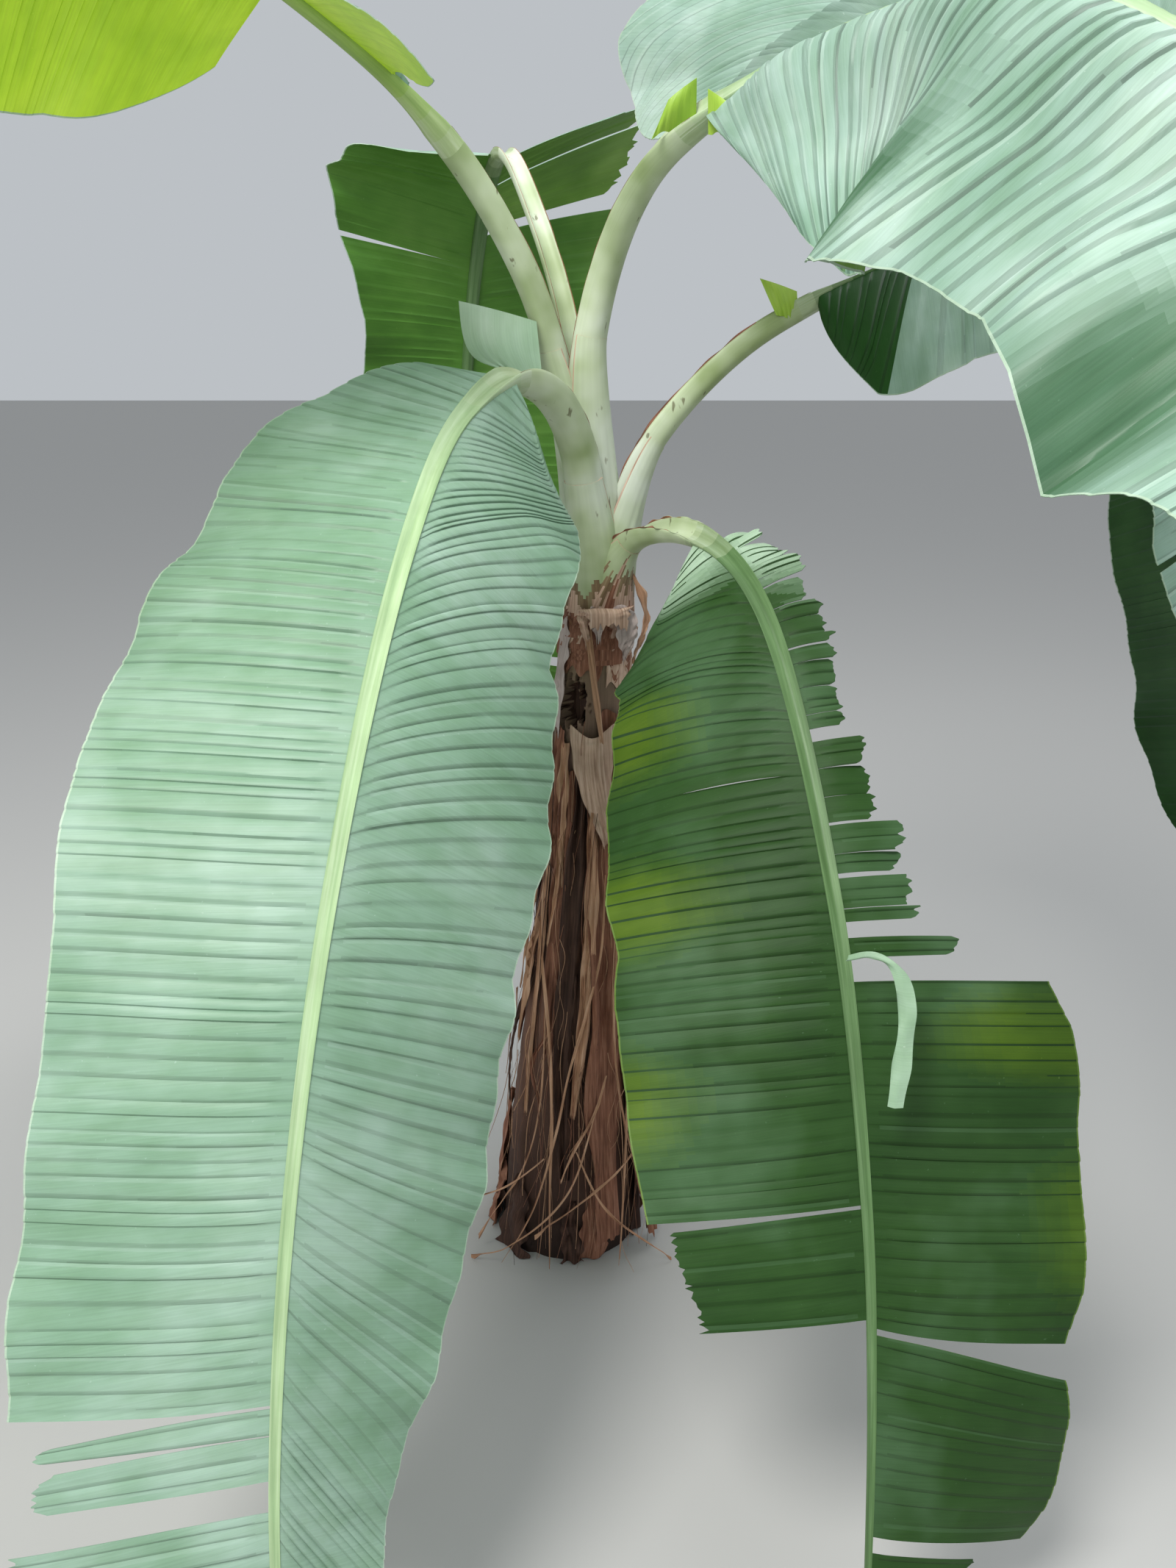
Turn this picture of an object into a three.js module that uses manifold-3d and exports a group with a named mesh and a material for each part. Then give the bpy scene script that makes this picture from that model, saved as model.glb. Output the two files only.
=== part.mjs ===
// A young banana plant: a sheathed false stem, six leaves and the dead leaves that hang on it.
// Units are millimetres, +Z is up, and the origin is the middle of the flat cut at ground level.
// The plant's front is -Y. "Left" and "right" of a leaf are seen from the stem, looking out along it.
import * as THREE from "three";
import Module from "manifold-3d";

const wasm = await Module();
wasm.setup();

// Driving dimensions of the stem
const STEM_HEIGHT = 1330;
const STEM_LEAN = 55;
const STEM_PROFILE = [
  [0, 128], [90, 125], [220, 118], [390, 104], [560, 86],
  [760, 72], [920, 66], [1120, 60], [1270, 53], [1330, 48],
];
const STEM_RINGS = 17;
const STEM_SIDES = 16;
const SHEATH_RIDGES = 3;
const SHEATH_RIDGE = 0.035;
const SHEATH_WINDING = 260;
const CORE_TOP = [34, 6, 1425];
const CORE_RADIUS = 24;
const SHOULDER = { share: 0.12, radius: 36 };

// Sizes that all leaves share: a stalk's depth is a share of its width, and so is its channel's.
const CLEARANCE = 0.35;
const BLADE_THICKNESS_SHARE = 0.0105;
const BLADE_COLUMNS = 3;
const BLADE_STEP = 120;
const RIB_OVERLAP = 5;
const TEAR_SHARE = 0.004;
const STALK_SIDES = 12;
const STALK_DEPTH = 0.8;
const STALK_KEEL = 0.62;
const STALK_SHOULDER = 0.36;
const STALK_CHANNEL = 0.02;
const STALK_STEP = 65;
const STALK_END_GAP = 0.2;
const RIB_SIDES = 6;
const RIB_TIP_RADIUS = 12;
const RIB_STEP = 110;
const RIB_ROUND = 0.82;
const RIB_TAPER_POWER = 0.7;
const FOOT_SHARE = 0.12;
const FOOT_ROUND = 0.82;
const LEAST_STRIP = 0.004;
const CURVE_SAMPLES = 400;

const COLOURS = {
  stem: [0x6e5546, 0.85],
  stalk: [0xb9cc9e, 0.55],
  paleBlade: [0x8fbfa0, 0.5],
  deepBlade: [0x4a8a48, 0.5],
  litBlade: [0x9cc63e, 0.5],
  dry: [0x96735a, 0.9],
};

// Each leaf: the rib's course from the crown to the tip, the share of it that is bare stalk,
// the compass heading of its lean, and how its two halves spread, droop and are torn.
// A list of angles, slants or rolls is read evenly from the blade's foot to its tip.
// A torn half is a list of strips: where each starts and ends, and its share of the half width.
const LEAVES = [
  {
    name: "front_left_leaf",
    colour: "paleBlade",
    rib: [
      [45, -25, 1300], [20, -65, 1485], [-20, -115, 1565], [-70, -170, 1588], [-130, -235, 1545],
      [-190, -490, 1382], [-262, -835, 953], [-293, -1035, 508], [-280, -1140, 110],
    ],
    stalkShare: 0.172,
    stalkWidth: [72, 48],
    heading: -103,
    bend: 0.46,
    width: { left: 285, right: 285 },
    base: { left: 0.08, right: 0.08 },
    taperFrom: { left: 0.44, right: 0.75 },
    taperPower: 2.0,
    roll: [5, 15, 15],
    fold: { left: [-33, -32], right: [-2, 6] },
    curl: { left: [-20, -10], right: [-10, -10] },
    slant: { left: [0.1, 0.15, 0.3], right: [0.1, 0.15, 0.3] },
    wave: [12, 3],
    strips: {
      left: [[0, 0.985, 1]],
      right: [[0, 0.732, 1], [0.736, 0.776, 0.88], [0.8, 0.93, 0.95], [0.932, 0.985, 0.9]],
    },
  },
  {
    name: "front_right_leaf",
    colour: "deepBlade",
    rib: [
      [66, -25, 1270], [105, -52, 1342], [160, -100, 1366], [220, -150, 1353], [284, -292, 1280],
      [351, -577, 968], [380, -759, 630], [383, -850, 420], [375, -960, 120],
    ],
    stalkShare: 0.125,
    stalkWidth: [54, 38],
    heading: -70,
    bend: 0.44,
    width: { left: 288, right: 288 },
    base: { left: 0.12, right: 0.12 },
    taperFrom: { left: 0.82, right: 0.75 },
    taperPower: 2.2,
    roll: [-32, -18, 0],
    fold: { left: [0, 0], right: [-8, -1] },
    curl: { left: [-20, -10], right: [-20, -10] },
    slant: { left: [0.1, 0.1, 0.2], right: [0.1, 0.1, 0.2] },
    wave: [8, 3],
    strips: {
      left: [
        [0.02, 0.1, 0.3], [0.102, 0.17, 0.2], [0.172, 0.25, 0.18], [0.272, 0.335, 0.2], [0.337, 0.39, 0.27],
        [0.397, 0.414, 0.5], [0.466, 0.735, 1], [0.74, 0.897, 0.93], [0.91, 0.985, 0.7],
      ],
      right: [[0, 0.655, 1], [0.661, 0.726, 0.85], [0.93, 0.985, 0.8]],
    },
  },
  {
    name: "upper_left_leaf",
    colour: "litBlade",
    rib: [
      [22, 4, 1430], [-10, 0, 1595], [-50, -30, 1720], [-145, -110, 1880], [-265, -230, 1990],
      [-500, -380, 2120], [-770, -570, 2150], [-1030, -760, 2070], [-1250, -920, 1880],
      [-1380, -1020, 1660],
    ],
    stalkShare: 0.24,
    stalkWidth: [54, 48],
    heading: -143,
    bend: 0.5,
    width: { left: 290, right: 290 },
    base: { left: 0.06, right: 0.14 },
    start: { left: 0, right: 0.14 },
    taperFrom: { left: 0.6, right: 0.6 },
    taperPower: 2.2,
    roll: [0, 0],
    fold: { left: [-20, -12, 0, 0], right: [-45, -45, -40, -30] },
    curl: { left: [-10, -10], right: [-20, -20] },
    slant: { left: [0, 0.15, 0.3], right: [0, 0.15, 0.3] },
    wave: [10, 3],
    strips: {
      left: [[0, 0.985, 1]],
      right: [[0.15, 0.985, 1]],
    },
  },
  {
    name: "upper_right_leaf",
    colour: "paleBlade",
    rib: [
      [46, 2, 1430], [30, 0, 1560], [62, -25, 1740], [125, -110, 1865], [262, -260, 1953],
      [385, -405, 1987], [465, -590, 1975], [515, -785, 1900], [590, -1010, 1760], [670, -1240, 1520],
      [720, -1390, 1250],
    ],
    stalkShare: 0.265,
    stalkWidth: [60, 48],
    heading: -42,
    bend: 0.5,
    width: { left: 300, right: 310 },
    base: { left: 0.25, right: 0.13 },
    taperFrom: { left: 0.6, right: 0.6 },
    taperPower: 2.2,
    roll: [-38, -34, -25],
    fold: { left: [10, 30, 20, 10, 0], right: [-10, -20, -20, -10, -4, 0] },
    curl: { left: [-20, -20], right: [-20, -20] },
    slant: { left: [-2.2, -1.1, -0.4, 0, 0.3], right: [0.6, 0.3, 0.1, 0, 0.05, 0.2, 0.2, 0.2, 0.3] },
    wave: [14, 3],
    strips: {
      left: [[0.005, 0.985, 1]],
      right: [[0.005, 0.985, 1]],
    },
  },
  {
    name: "back_left_leaf",
    colour: "deepBlade",
    rib: [
      [33, 26, 1410], [5, 32, 1660], [-45, 85, 1820], [-95, 180, 1915],
      [-135, 300, 1860], [-180, 375, 1620], [-205, 420, 1250], [-210, 430, 640],
    ],
    stalkShare: 0.31,
    stalkWidth: [36, 28],
    heading: 110,
    bend: 0.4,
    width: { left: 280, right: 280 },
    base: { left: 0.04, right: 0.05 },
    taperFrom: { left: 0.6, right: 0.6 },
    taperPower: 2.2,
    roll: [0, 0],
    fold: { left: [0, 0], right: [20, 0, 0] },
    curl: { left: [-10, -10], right: [-10, -10] },
    slant: { left: [-0.3, 0.15, 0.3], right: [-0.35, 0.1, 0.3] },
    wave: [10, 3],
    strips: {
      left: [[0, 0.985, 1]],
      right: [[0.02, 0.12, 1], [0.13, 0.985, 1]],
    },
  },
  {
    name: "back_right_leaf",
    colour: "deepBlade",
    rib: [
      [80, -5, 1310], [95, 5, 1410], [140, 20, 1495], [250, 50, 1610], [355, 60, 1680], [560, 40, 1765],
      [740, 10, 1790], [880, -30, 1710], [970, -70, 1540], [1030, -110, 1200], [1040, -130, 840],
    ],
    stalkShare: 0.27,
    stalkWidth: [58, 44],
    heading: -8,
    bend: 0.45,
    width: { left: 285, right: 270 },
    base: { left: 0.06, right: 0.18 },
    taperFrom: { left: 0.6, right: 0.6 },
    taperPower: 2.2,
    roll: [0, 0],
    fold: { left: [0, -10, -10], right: [-44, -26, -10] },
    curl: { left: [-20, -20], right: [-20, -20] },
    slant: { left: [0.1, 0.15, 0.3], right: [-0.25, 0.1, 0.2, 0.3] },
    wave: [10, 3],
    strips: {
      left: [[0, 0.985, 1]],
      right: [[0, 0.16, 1], [0.166, 0.19, 0.9], [0.2, 0.985, 1]],
    },
  },
];

// Dead leaves that hang round the stem: bearing, height of the top and the foot, widths and swing.
const DEAD_LEAVES = [
  { side: "front", bearing: -80, top: 1040, foot: 40, width: [96, 74], thickness: 17, swing: 8 },
  { side: "front_left", bearing: -131, top: 975, foot: 120, width: [62, 44], thickness: 15, swing: -6 },
  { side: "front_right", bearing: -27, top: 1000, foot: 30, width: [72, 58], thickness: 16, swing: 8 },
  { side: "right", bearing: 18, top: 930, foot: 90, width: [60, 40], thickness: 15, swing: -12 },
  { side: "back", bearing: 95, top: 960, foot: 80, width: [74, 44], thickness: 15, swing: 12 },
];
const DEAD_LEAF_STEP = 95;
const DEAD_LEAF_SIDES = 8;
const DEAD_LEAF_RIPPLE = 9;
const DEAD_LEAF_FLARE = 22;
const DEAD_LEAF_PINCH = 0.22;
const DEAD_LEAF_WAVES = { swing: 4.2, pinch: 9, ripple: 11 };

// The papery collar of old sheath under the crown
const COLLAR = { bottom: 1150, top: 1262, from: -165, to: 15, thickness: 9, flare: 14, ripple: 6 };
const COLLAR_STEPS = 14;
const COLLAR_WAVES = 13;

const rad = THREE.MathUtils.degToRad;
const lerp = THREE.MathUtils.lerp;

// Reads a list evenly spread over 0 to 1 at place s.
function along(list, s) {
  const place = THREE.MathUtils.clamp(s, 0, 1) * (list.length - 1);
  const index = Math.min(Math.floor(place), list.length - 2);
  return lerp(list[index], list[index + 1], place - index);
}

// Turns points and triangles into a solid whose faces point out.
function solid(points, triangles) {
  let volume = 0;
  for (const [a, b, c] of triangles) {
    volume += points[a].dot(new THREE.Vector3().crossVectors(points[b], points[c]));
  }
  const ordered = volume < 0 ? triangles.map(([a, b, c]) => [a, c, b]) : triangles;
  return new wasm.Manifold(new wasm.Mesh({
    numProp: 3,
    vertProperties: new Float32Array(points.flatMap((p) => [p.x, p.y, p.z])),
    triVerts: new Uint32Array(ordered.flat()),
  }));
}

// Skins a row of rings that all have the same number of points, and closes both ends.
function loft(rings) {
  const sides = rings[0].length;
  const points = rings.flat();
  const triangles = [];
  for (let row = 0; row + 1 < rings.length; row += 1) {
    for (let k = 0; k < sides; k += 1) {
      const a = row * sides + k;
      const b = row * sides + ((k + 1) % sides);
      triangles.push([a, b, b + sides], [a, b + sides, a + sides]);
    }
  }
  for (const [row, flip] of [[0, true], [rings.length - 1, false]]) {
    const middle = new THREE.Vector3();
    rings[row].forEach((p) => middle.add(p));
    points.push(middle.divideScalar(sides));
    const hub = points.length - 1;
    for (let k = 0; k < sides; k += 1) {
      const a = row * sides + k;
      const b = row * sides + ((k + 1) % sides);
      triangles.push(flip ? [hub, b, a] : [hub, a, b]);
    }
  }
  return solid(points, triangles);
}

// Closes a grid of point pairs, upper and lower face, into a plate.
function plate(rows) {
  const columns = rows[0].length;
  const ring = [];
  for (let c = 0; c < columns; c += 1) {
    ring.push([c, 0]);
  }
  for (let c = columns - 1; c >= 0; c -= 1) {
    ring.push([c, 1]);
  }
  return loftStrip(rows.map((row) => ring.map(([c, face]) => row[c][face])), columns);
}

// Skins plate rings; their ends are closed by strips from face to face, not by a hub.
function loftStrip(rings, columns) {
  const sides = rings[0].length;
  const points = rings.flat();
  const triangles = [];
  for (let row = 0; row + 1 < rings.length; row += 1) {
    for (let k = 0; k < sides; k += 1) {
      const a = row * sides + k;
      const b = row * sides + ((k + 1) % sides);
      triangles.push([a, b, b + sides], [a, b + sides, a + sides]);
    }
  }
  const last = (rings.length - 1) * sides;
  for (let c = 0; c + 1 < columns; c += 1) {
    const upper = [c, c + 1];
    const lower = [sides - 1 - c, sides - 2 - c];
    triangles.push([upper[0], lower[0], lower[1]], [upper[0], lower[1], upper[1]]);
    triangles.push([last + upper[0], last + lower[1], last + lower[0]]);
    triangles.push([last + upper[0], last + upper[1], last + lower[1]]);
  }
  return solid(points, triangles);
}

function joined(solids) {
  return solids.reduce((sum, next) => sum.add(next));
}

// The stem's middle and radius at a height
function stemCentre(z) {
  return new THREE.Vector3(STEM_LEAN * (z / STEM_HEIGHT), 0, z);
}

function stemRadius(z) {
  const upper = STEM_PROFILE.findIndex(([height]) => height >= z);
  if (upper <= 0) {
    return upper === 0 ? STEM_PROFILE[0][1] : STEM_PROFILE.at(-1)[1];
  }
  const [z0, r0] = STEM_PROFILE[upper - 1];
  const [z1, r1] = STEM_PROFILE[upper];
  return lerp(r0, r1, (z - z0) / (z1 - z0));
}

// Overlapping sheaths give the stem's section three soft ridges that wind up it.
function stemSurface(z, angle, grow) {
  const ridge = 1 + SHEATH_RIDGE * Math.cos(SHEATH_RIDGES * angle + z / SHEATH_WINDING);
  const reach = stemRadius(z) * ridge + grow;
  return stemCentre(z).add(new THREE.Vector3(reach * Math.cos(angle), reach * Math.sin(angle), 0));
}

function makeStem(grow) {
  const rings = Array.from({ length: STEM_RINGS + 1 }, (_, row) => {
    const z = (row / STEM_RINGS) * STEM_HEIGHT;
    const ring = [];
    for (let k = 0; k < STEM_SIDES; k += 1) {
      ring.push(stemSurface(z, (k / STEM_SIDES) * 2 * Math.PI, grow));
    }
    return ring;
  });
  rings.at(-1).forEach((p) => { p.z += grow; });
  const shoulder = new THREE.Vector3(...CORE_TOP);
  for (const [share, radius] of [[SHOULDER.share, SHOULDER.radius], [1, CORE_RADIUS]]) {
    const middle = stemCentre(STEM_HEIGHT).lerp(shoulder, share);
    rings.push(rings[0].map((_, k) => {
      const angle = (k / STEM_SIDES) * 2 * Math.PI;
      const reach = radius + grow;
      return new THREE.Vector3(
        middle.x + reach * Math.cos(angle), middle.y + reach * Math.sin(angle), middle.z + grow,
      );
    }));
  }
  return loft(rings);
}

// A leaf's rib as a curve with a steady sideways direction
class Rib {
  constructor(leaf) {
    this.leaf = leaf;
    this.curve = new THREE.CatmullRomCurve3(leaf.rib.map((p) => new THREE.Vector3(...p)));
    this.curve.arcLengthDivisions = CURVE_SAMPLES;
    this.length = this.curve.getLength();
    const heading = rad(leaf.heading);
    this.right = new THREE.Vector3(Math.sin(heading), -Math.cos(heading), 0);
  }

  frame(share, roll) {
    const point = this.curve.getPointAt(share);
    const tangent = this.curve.getTangentAt(share);
    const side = this.right.clone().addScaledVector(tangent, -this.right.dot(tangent)).normalize();
    const up = new THREE.Vector3().crossVectors(side, tangent);
    const across = side.clone().multiplyScalar(Math.cos(roll)).addScaledVector(up, Math.sin(roll));
    const above = up.multiplyScalar(Math.cos(roll)).addScaledVector(side, -Math.sin(roll));
    return { point, tangent, across, above };
  }
}

// The channelled section of a leaf stalk: round below, hollowed above.
function stalkSection(frame, width, depth, grow) {
  const ring = [];
  for (let k = 0; k < STALK_SIDES; k += 1) {
    const angle = (k / STALK_SIDES) * 2 * Math.PI;
    const sideways = Math.cos(angle) * (width / 2 + grow);
    const height = angle < Math.PI
      ? (STALK_SHOULDER * Math.abs(Math.sin(2 * angle)) - STALK_CHANNEL) * depth + grow
      : Math.sin(angle) * (depth * STALK_KEEL + grow);
    ring.push(frame.point.clone()
      .addScaledVector(frame.across, sideways)
      .addScaledVector(frame.above, height));
  }
  return ring;
}

function makeStalk(rib, grow) {
  const { stalkShare, stalkWidth, roll } = rib.leaf;
  const gap = STALK_END_GAP / rib.length;
  const steps = Math.ceil((rib.length * stalkShare) / STALK_STEP);
  const rings = [];
  for (let i = 0; i <= steps; i += 1) {
    const share = lerp(0, stalkShare - gap, i / steps);
    const width = lerp(stalkWidth[0], stalkWidth[1], Math.sqrt(i / steps));
    const frame = rib.frame(share, rad(roll[0]) * (i / steps));
    if (i === 0 || i === steps) {
      frame.point.addScaledVector(frame.tangent, i === 0 ? -grow : grow);
    }
    rings.push(stalkSection(frame, width, width * STALK_DEPTH, grow));
  }
  return loft(rings);
}

function halfWidth(leaf, side, s) {
  const start = leaf.start ? leaf.start[side] : 0;
  const place = (s - start) / (1 - start);
  if (place < 0) {
    return 0;
  }
  let share = 1;
  if (place < leaf.base[side]) {
    const x = place / leaf.base[side];
    const rounded = FOOT_ROUND * Math.sqrt(1 - (1 - x) ** 2) + (1 - FOOT_ROUND) * x;
    share = lerp(FOOT_SHARE, 1, rounded);
  }
  if (place > leaf.taperFrom[side]) {
    share = 1 - ((place - leaf.taperFrom[side]) / (1 - leaf.taperFrom[side])) ** leaf.taperPower;
  }
  return leaf.width[side] * Math.max(share, 0);
}

// Upper and lower point of one half of a blade, at station s and at a share of the half width.
function bladePair(rib, side, s, share, thickness) {
  const { leaf } = rib;
  const sign = side === "right" ? 1 : -1;
  const place = lerp(leaf.stalkShare, 1, s);
  const frame = rib.frame(place, rad(along(leaf.roll, s)));
  const fold = rad(along(leaf.fold[side], s));
  const curl = rad(along(leaf.curl[side], s));
  const width = halfWidth(leaf, side, s);
  const turned = fold + curl * share;
  const out = ((Math.sin(turned) - Math.sin(fold)) / curl) * width;
  const rise = ((Math.cos(fold) - Math.cos(turned)) / curl) * width;
  const [height, count] = leaf.wave;
  const wave = height * share * share * Math.sin(2 * Math.PI * count * s);
  const middle = frame.point
    .addScaledVector(frame.across, sign * out)
    .addScaledVector(frame.above, rise + wave)
    .addScaledVector(frame.tangent, along(leaf.slant[side], s) * width * share);
  const normal = frame.above.clone().multiplyScalar(Math.cos(turned))
    .addScaledVector(frame.across, -sign * Math.sin(turned));
  const upper = middle.clone().addScaledVector(normal, thickness / 2);
  const lower = middle.addScaledVector(normal, -thickness / 2);
  return [upper, lower];
}

// One strip of a blade half, from the rib out, narrowed a little towards the margin where it is torn.
function makeStrip(rib, side, [from, to, reach], tornFrom, tornTo, thickness) {
  const span = (to - from) * rib.length * (1 - rib.leaf.stalkShare);
  const steps = Math.max(1, Math.round(span / BLADE_STEP));
  const rows = [];
  for (let i = 0; i <= steps; i += 1) {
    const row = [];
    for (let c = 0; c <= BLADE_COLUMNS; c += 1) {
      const width = halfWidth(rib.leaf, side, lerp(from, to, i / steps));
      const share = lerp(-RIB_OVERLAP / width, reach, c / BLADE_COLUMNS);
      const narrow = TEAR_SHARE * Math.max(share, 0);
      const s = lerp(from + (tornFrom ? narrow : 0), to - (tornTo ? narrow : 0), i / steps);
      row.push(bladePair(rib, side, s, share, thickness));
    }
    rows.push(row);
  }
  return plate(rows);
}

function makeRib(rib, from, to, grow) {
  const { stalkShare, stalkWidth, roll } = rib.leaf;
  const steps = Math.max(2, Math.round(((to - from) * rib.length) / RIB_STEP));
  const rings = [];
  for (let i = 0; i <= steps; i += 1) {
    const place = lerp(from, to, i / steps);
    const s = Math.max((place - stalkShare) / (1 - stalkShare), 0);
    const radius = lerp(stalkWidth[1] / 2, RIB_TIP_RADIUS, s ** RIB_TAPER_POWER) + grow;
    const frame = rib.frame(place, rad(along(roll, s)));
    const ring = [];
    for (let k = 0; k < RIB_SIDES; k += 1) {
      const angle = ((k + 0.5) / RIB_SIDES) * 2 * Math.PI;
      ring.push(frame.point.clone()
        .addScaledVector(frame.across, radius * Math.cos(angle))
        .addScaledVector(frame.above, radius * RIB_ROUND * Math.sin(angle)));
    }
    rings.push(ring);
  }
  return loft(rings);
}

// The stretch of a blade between two stations, as one solid: the rib and the strips that cross it.
function makeBlade(rib, from, to) {
  const { leaf } = rib;
  const bladeLength = rib.length * (1 - leaf.stalkShare);
  const thickness = BLADE_THICKNESS_SHARE * bladeLength;
  const gap = CLEARANCE / 2 / bladeLength;
  const first = from + gap;
  const last = to === 1 ? 1 : to - gap;
  const place = (s) => lerp(leaf.stalkShare, 1, s);
  const pieces = [makeRib(rib, place(first), place(last), 0)];
  for (const side of ["left", "right"]) {
    for (const [start, end, reach] of leaf.strips[side]) {
      const low = Math.max(start, first);
      const high = Math.min(end, last);
      if (high - low > LEAST_STRIP) {
        pieces.push(makeStrip(rib, side, [low, high, reach], low === start, high === end, thickness));
      }
    }
  }
  const rest = to === 1 ? [place(0), place(first)] : [place(last), 1];
  return joined(pieces).subtract(makeRib(rib, ...rest, CLEARANCE));
}

// A dead leaf that hangs down the stem, folded to a ribbon that ripples and swings out at its foot.
function makeDeadLeaf(item, grow) {
  const steps = Math.round((item.top - item.foot) / DEAD_LEAF_STEP);
  const rings = [];
  for (let i = 0; i <= steps; i += 1) {
    const share = i / steps;
    const z = lerp(item.top + grow, item.foot - grow, share);
    const angle = rad(item.bearing + item.swing * Math.sin(share * DEAD_LEAF_WAVES.swing));
    const pinch = 1 + DEAD_LEAF_PINCH * Math.sin(share * DEAD_LEAF_WAVES.pinch);
    const width = lerp(item.width[0], item.width[1], share) * pinch;
    const standoff = item.thickness / 2 + DEAD_LEAF_FLARE * share * share
      + DEAD_LEAF_RIPPLE * Math.sin(share * DEAD_LEAF_WAVES.ripple) ** 2;
    const outward = new THREE.Vector3(Math.cos(angle), Math.sin(angle), 0);
    const across = new THREE.Vector3(-Math.sin(angle), Math.cos(angle), 0);
    const middle = stemSurface(z, angle, standoff);
    const ring = [];
    for (let k = 0; k < DEAD_LEAF_SIDES; k += 1) {
      const turn = ((k + 0.5) / DEAD_LEAF_SIDES) * 2 * Math.PI;
      ring.push(middle.clone()
        .addScaledVector(across, Math.cos(turn) * (width / 2 + grow))
        .addScaledVector(outward, Math.sin(turn) * (item.thickness / 2 + grow)));
    }
    rings.push(ring);
  }
  return loft(rings);
}

// Part of a ring round the stem that opens outwards like old paper.
function makeCollar() {
  const rings = [];
  for (let i = 0; i <= COLLAR_STEPS; i += 1) {
    const share = i / COLLAR_STEPS;
    const angle = rad(lerp(COLLAR.from, COLLAR.to, share));
    const ripple = COLLAR.ripple * Math.sin(share * COLLAR_WAVES);
    const ring = [
      stemSurface(COLLAR.bottom + ripple, angle, CLEARANCE),
      stemSurface(COLLAR.bottom + ripple, angle, CLEARANCE + COLLAR.thickness),
      stemSurface(COLLAR.top + 2 * ripple, angle, COLLAR.flare + ripple + COLLAR.thickness),
      stemSurface(COLLAR.top + 2 * ripple, angle, COLLAR.flare + ripple),
    ];
    rings.push(ring);
  }
  return loft(rings);
}

function addMesh(group, name, body, colour) {
  const { vertProperties, triVerts } = body.getMesh();
  const geometry = new THREE.BufferGeometry();
  geometry.setAttribute("position", new THREE.BufferAttribute(new Float32Array(vertProperties), 3));
  geometry.setIndex(new THREE.BufferAttribute(new Uint32Array(triVerts), 1));
  geometry.computeVertexNormals();
  const [shade, roughness] = COLOURS[colour];
  const material = new THREE.MeshStandardMaterial({ color: shade, roughness, metalness: 0 });
  const mesh = new THREE.Mesh(geometry, material);
  mesh.name = name;
  group.add(mesh);
}

const group = new THREE.Group();
const stem = makeStem(0);
const stemRoom = makeStem(CLEARANCE);
addMesh(group, "false_stem", stem, "stem");

// Inner leaves come first, and each later stalk is cut clear of the stem and of those before it.
const ORDER = [
  "upper_right_leaf", "upper_left_leaf", "back_left_leaf",
  "front_left_leaf", "back_right_leaf", "front_right_leaf",
];
let taken = stemRoom;
for (const name of ORDER) {
  const leaf = LEAVES.find((item) => item.name === name);
  const rib = new Rib(leaf);
  const stalk = makeStalk(rib, 0).subtract(taken);
  const stalkRoom = makeStalk(rib, CLEARANCE);
  addMesh(group, `${name}_stalk`, stalk, "stalk");
  addMesh(group, `${name}_inner`, makeBlade(rib, 0, leaf.bend).subtract(stalkRoom), leaf.colour);
  addMesh(group, `${name}_outer`, makeBlade(rib, leaf.bend, 1), leaf.colour);
  taken = taken.add(stalkRoom);
}

addMesh(group, "sheath_collar", makeCollar().subtract(taken), "dry");
for (const item of DEAD_LEAVES) {
  addMesh(group, `dead_leaf_${item.side}`, makeDeadLeaf(item, 0).subtract(taken), "dry");
  taken = taken.add(makeDeadLeaf(item, CLEARANCE));
}

export default group;
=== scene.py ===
# A young banana plant: a sheathed false stem, six pleated leaves and the dead leaves that hang on it.
# Tables are in millimetres and degrees, as on the drawing; what is built is in metres and radians.
# +Z is up and the front is -Y. A station is a place along a blade, 0 at its foot and 1 at its tip.
# "Left" and "right" of a leaf are seen from the stem, looking out along it.
import math

import bpy
import numpy as np
from mathutils import Euler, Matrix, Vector


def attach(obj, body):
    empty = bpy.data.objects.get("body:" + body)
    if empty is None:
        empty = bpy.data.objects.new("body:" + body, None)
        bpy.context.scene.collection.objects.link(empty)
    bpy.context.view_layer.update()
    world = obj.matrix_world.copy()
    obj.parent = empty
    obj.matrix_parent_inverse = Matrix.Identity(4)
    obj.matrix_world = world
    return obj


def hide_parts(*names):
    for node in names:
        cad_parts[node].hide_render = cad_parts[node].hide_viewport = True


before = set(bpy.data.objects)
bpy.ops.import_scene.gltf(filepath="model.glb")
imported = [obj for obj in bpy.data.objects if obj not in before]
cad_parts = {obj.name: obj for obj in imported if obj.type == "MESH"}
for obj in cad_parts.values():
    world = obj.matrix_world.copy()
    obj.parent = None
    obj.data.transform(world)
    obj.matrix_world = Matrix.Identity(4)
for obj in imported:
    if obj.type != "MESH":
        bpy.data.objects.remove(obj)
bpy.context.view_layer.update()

MM = 0.001
TURN = 2 * math.pi
LEFT, RIGHT = 0, 1

# The stem, as in the solids: pairs of height and radius, the ridges of its sheaths, and the core on top
STEM_HEIGHT = 1330
STEM_LEAN = 55
STEM_PROFILE = [
    (0, 128), (90, 125), (220, 118), (390, 104), (560, 86),
    (760, 72), (920, 66), (1120, 60), (1270, 53), (1330, 48),
]
SHEATH_RIDGES = 3
SHEATH_RIDGE = 0.035
SHEATH_WINDING = 260
SHEATH_EDGE = 0.95
CORE_TOP = (34, 6, 1425)
CORE_RADIUS = 24
SHOULDER = (STEM_LEAN + (CORE_TOP[0] - STEM_LEAN) * 0.12, 1, STEM_HEIGHT + 12)
SHOULDER_RADIUS = 36
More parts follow.
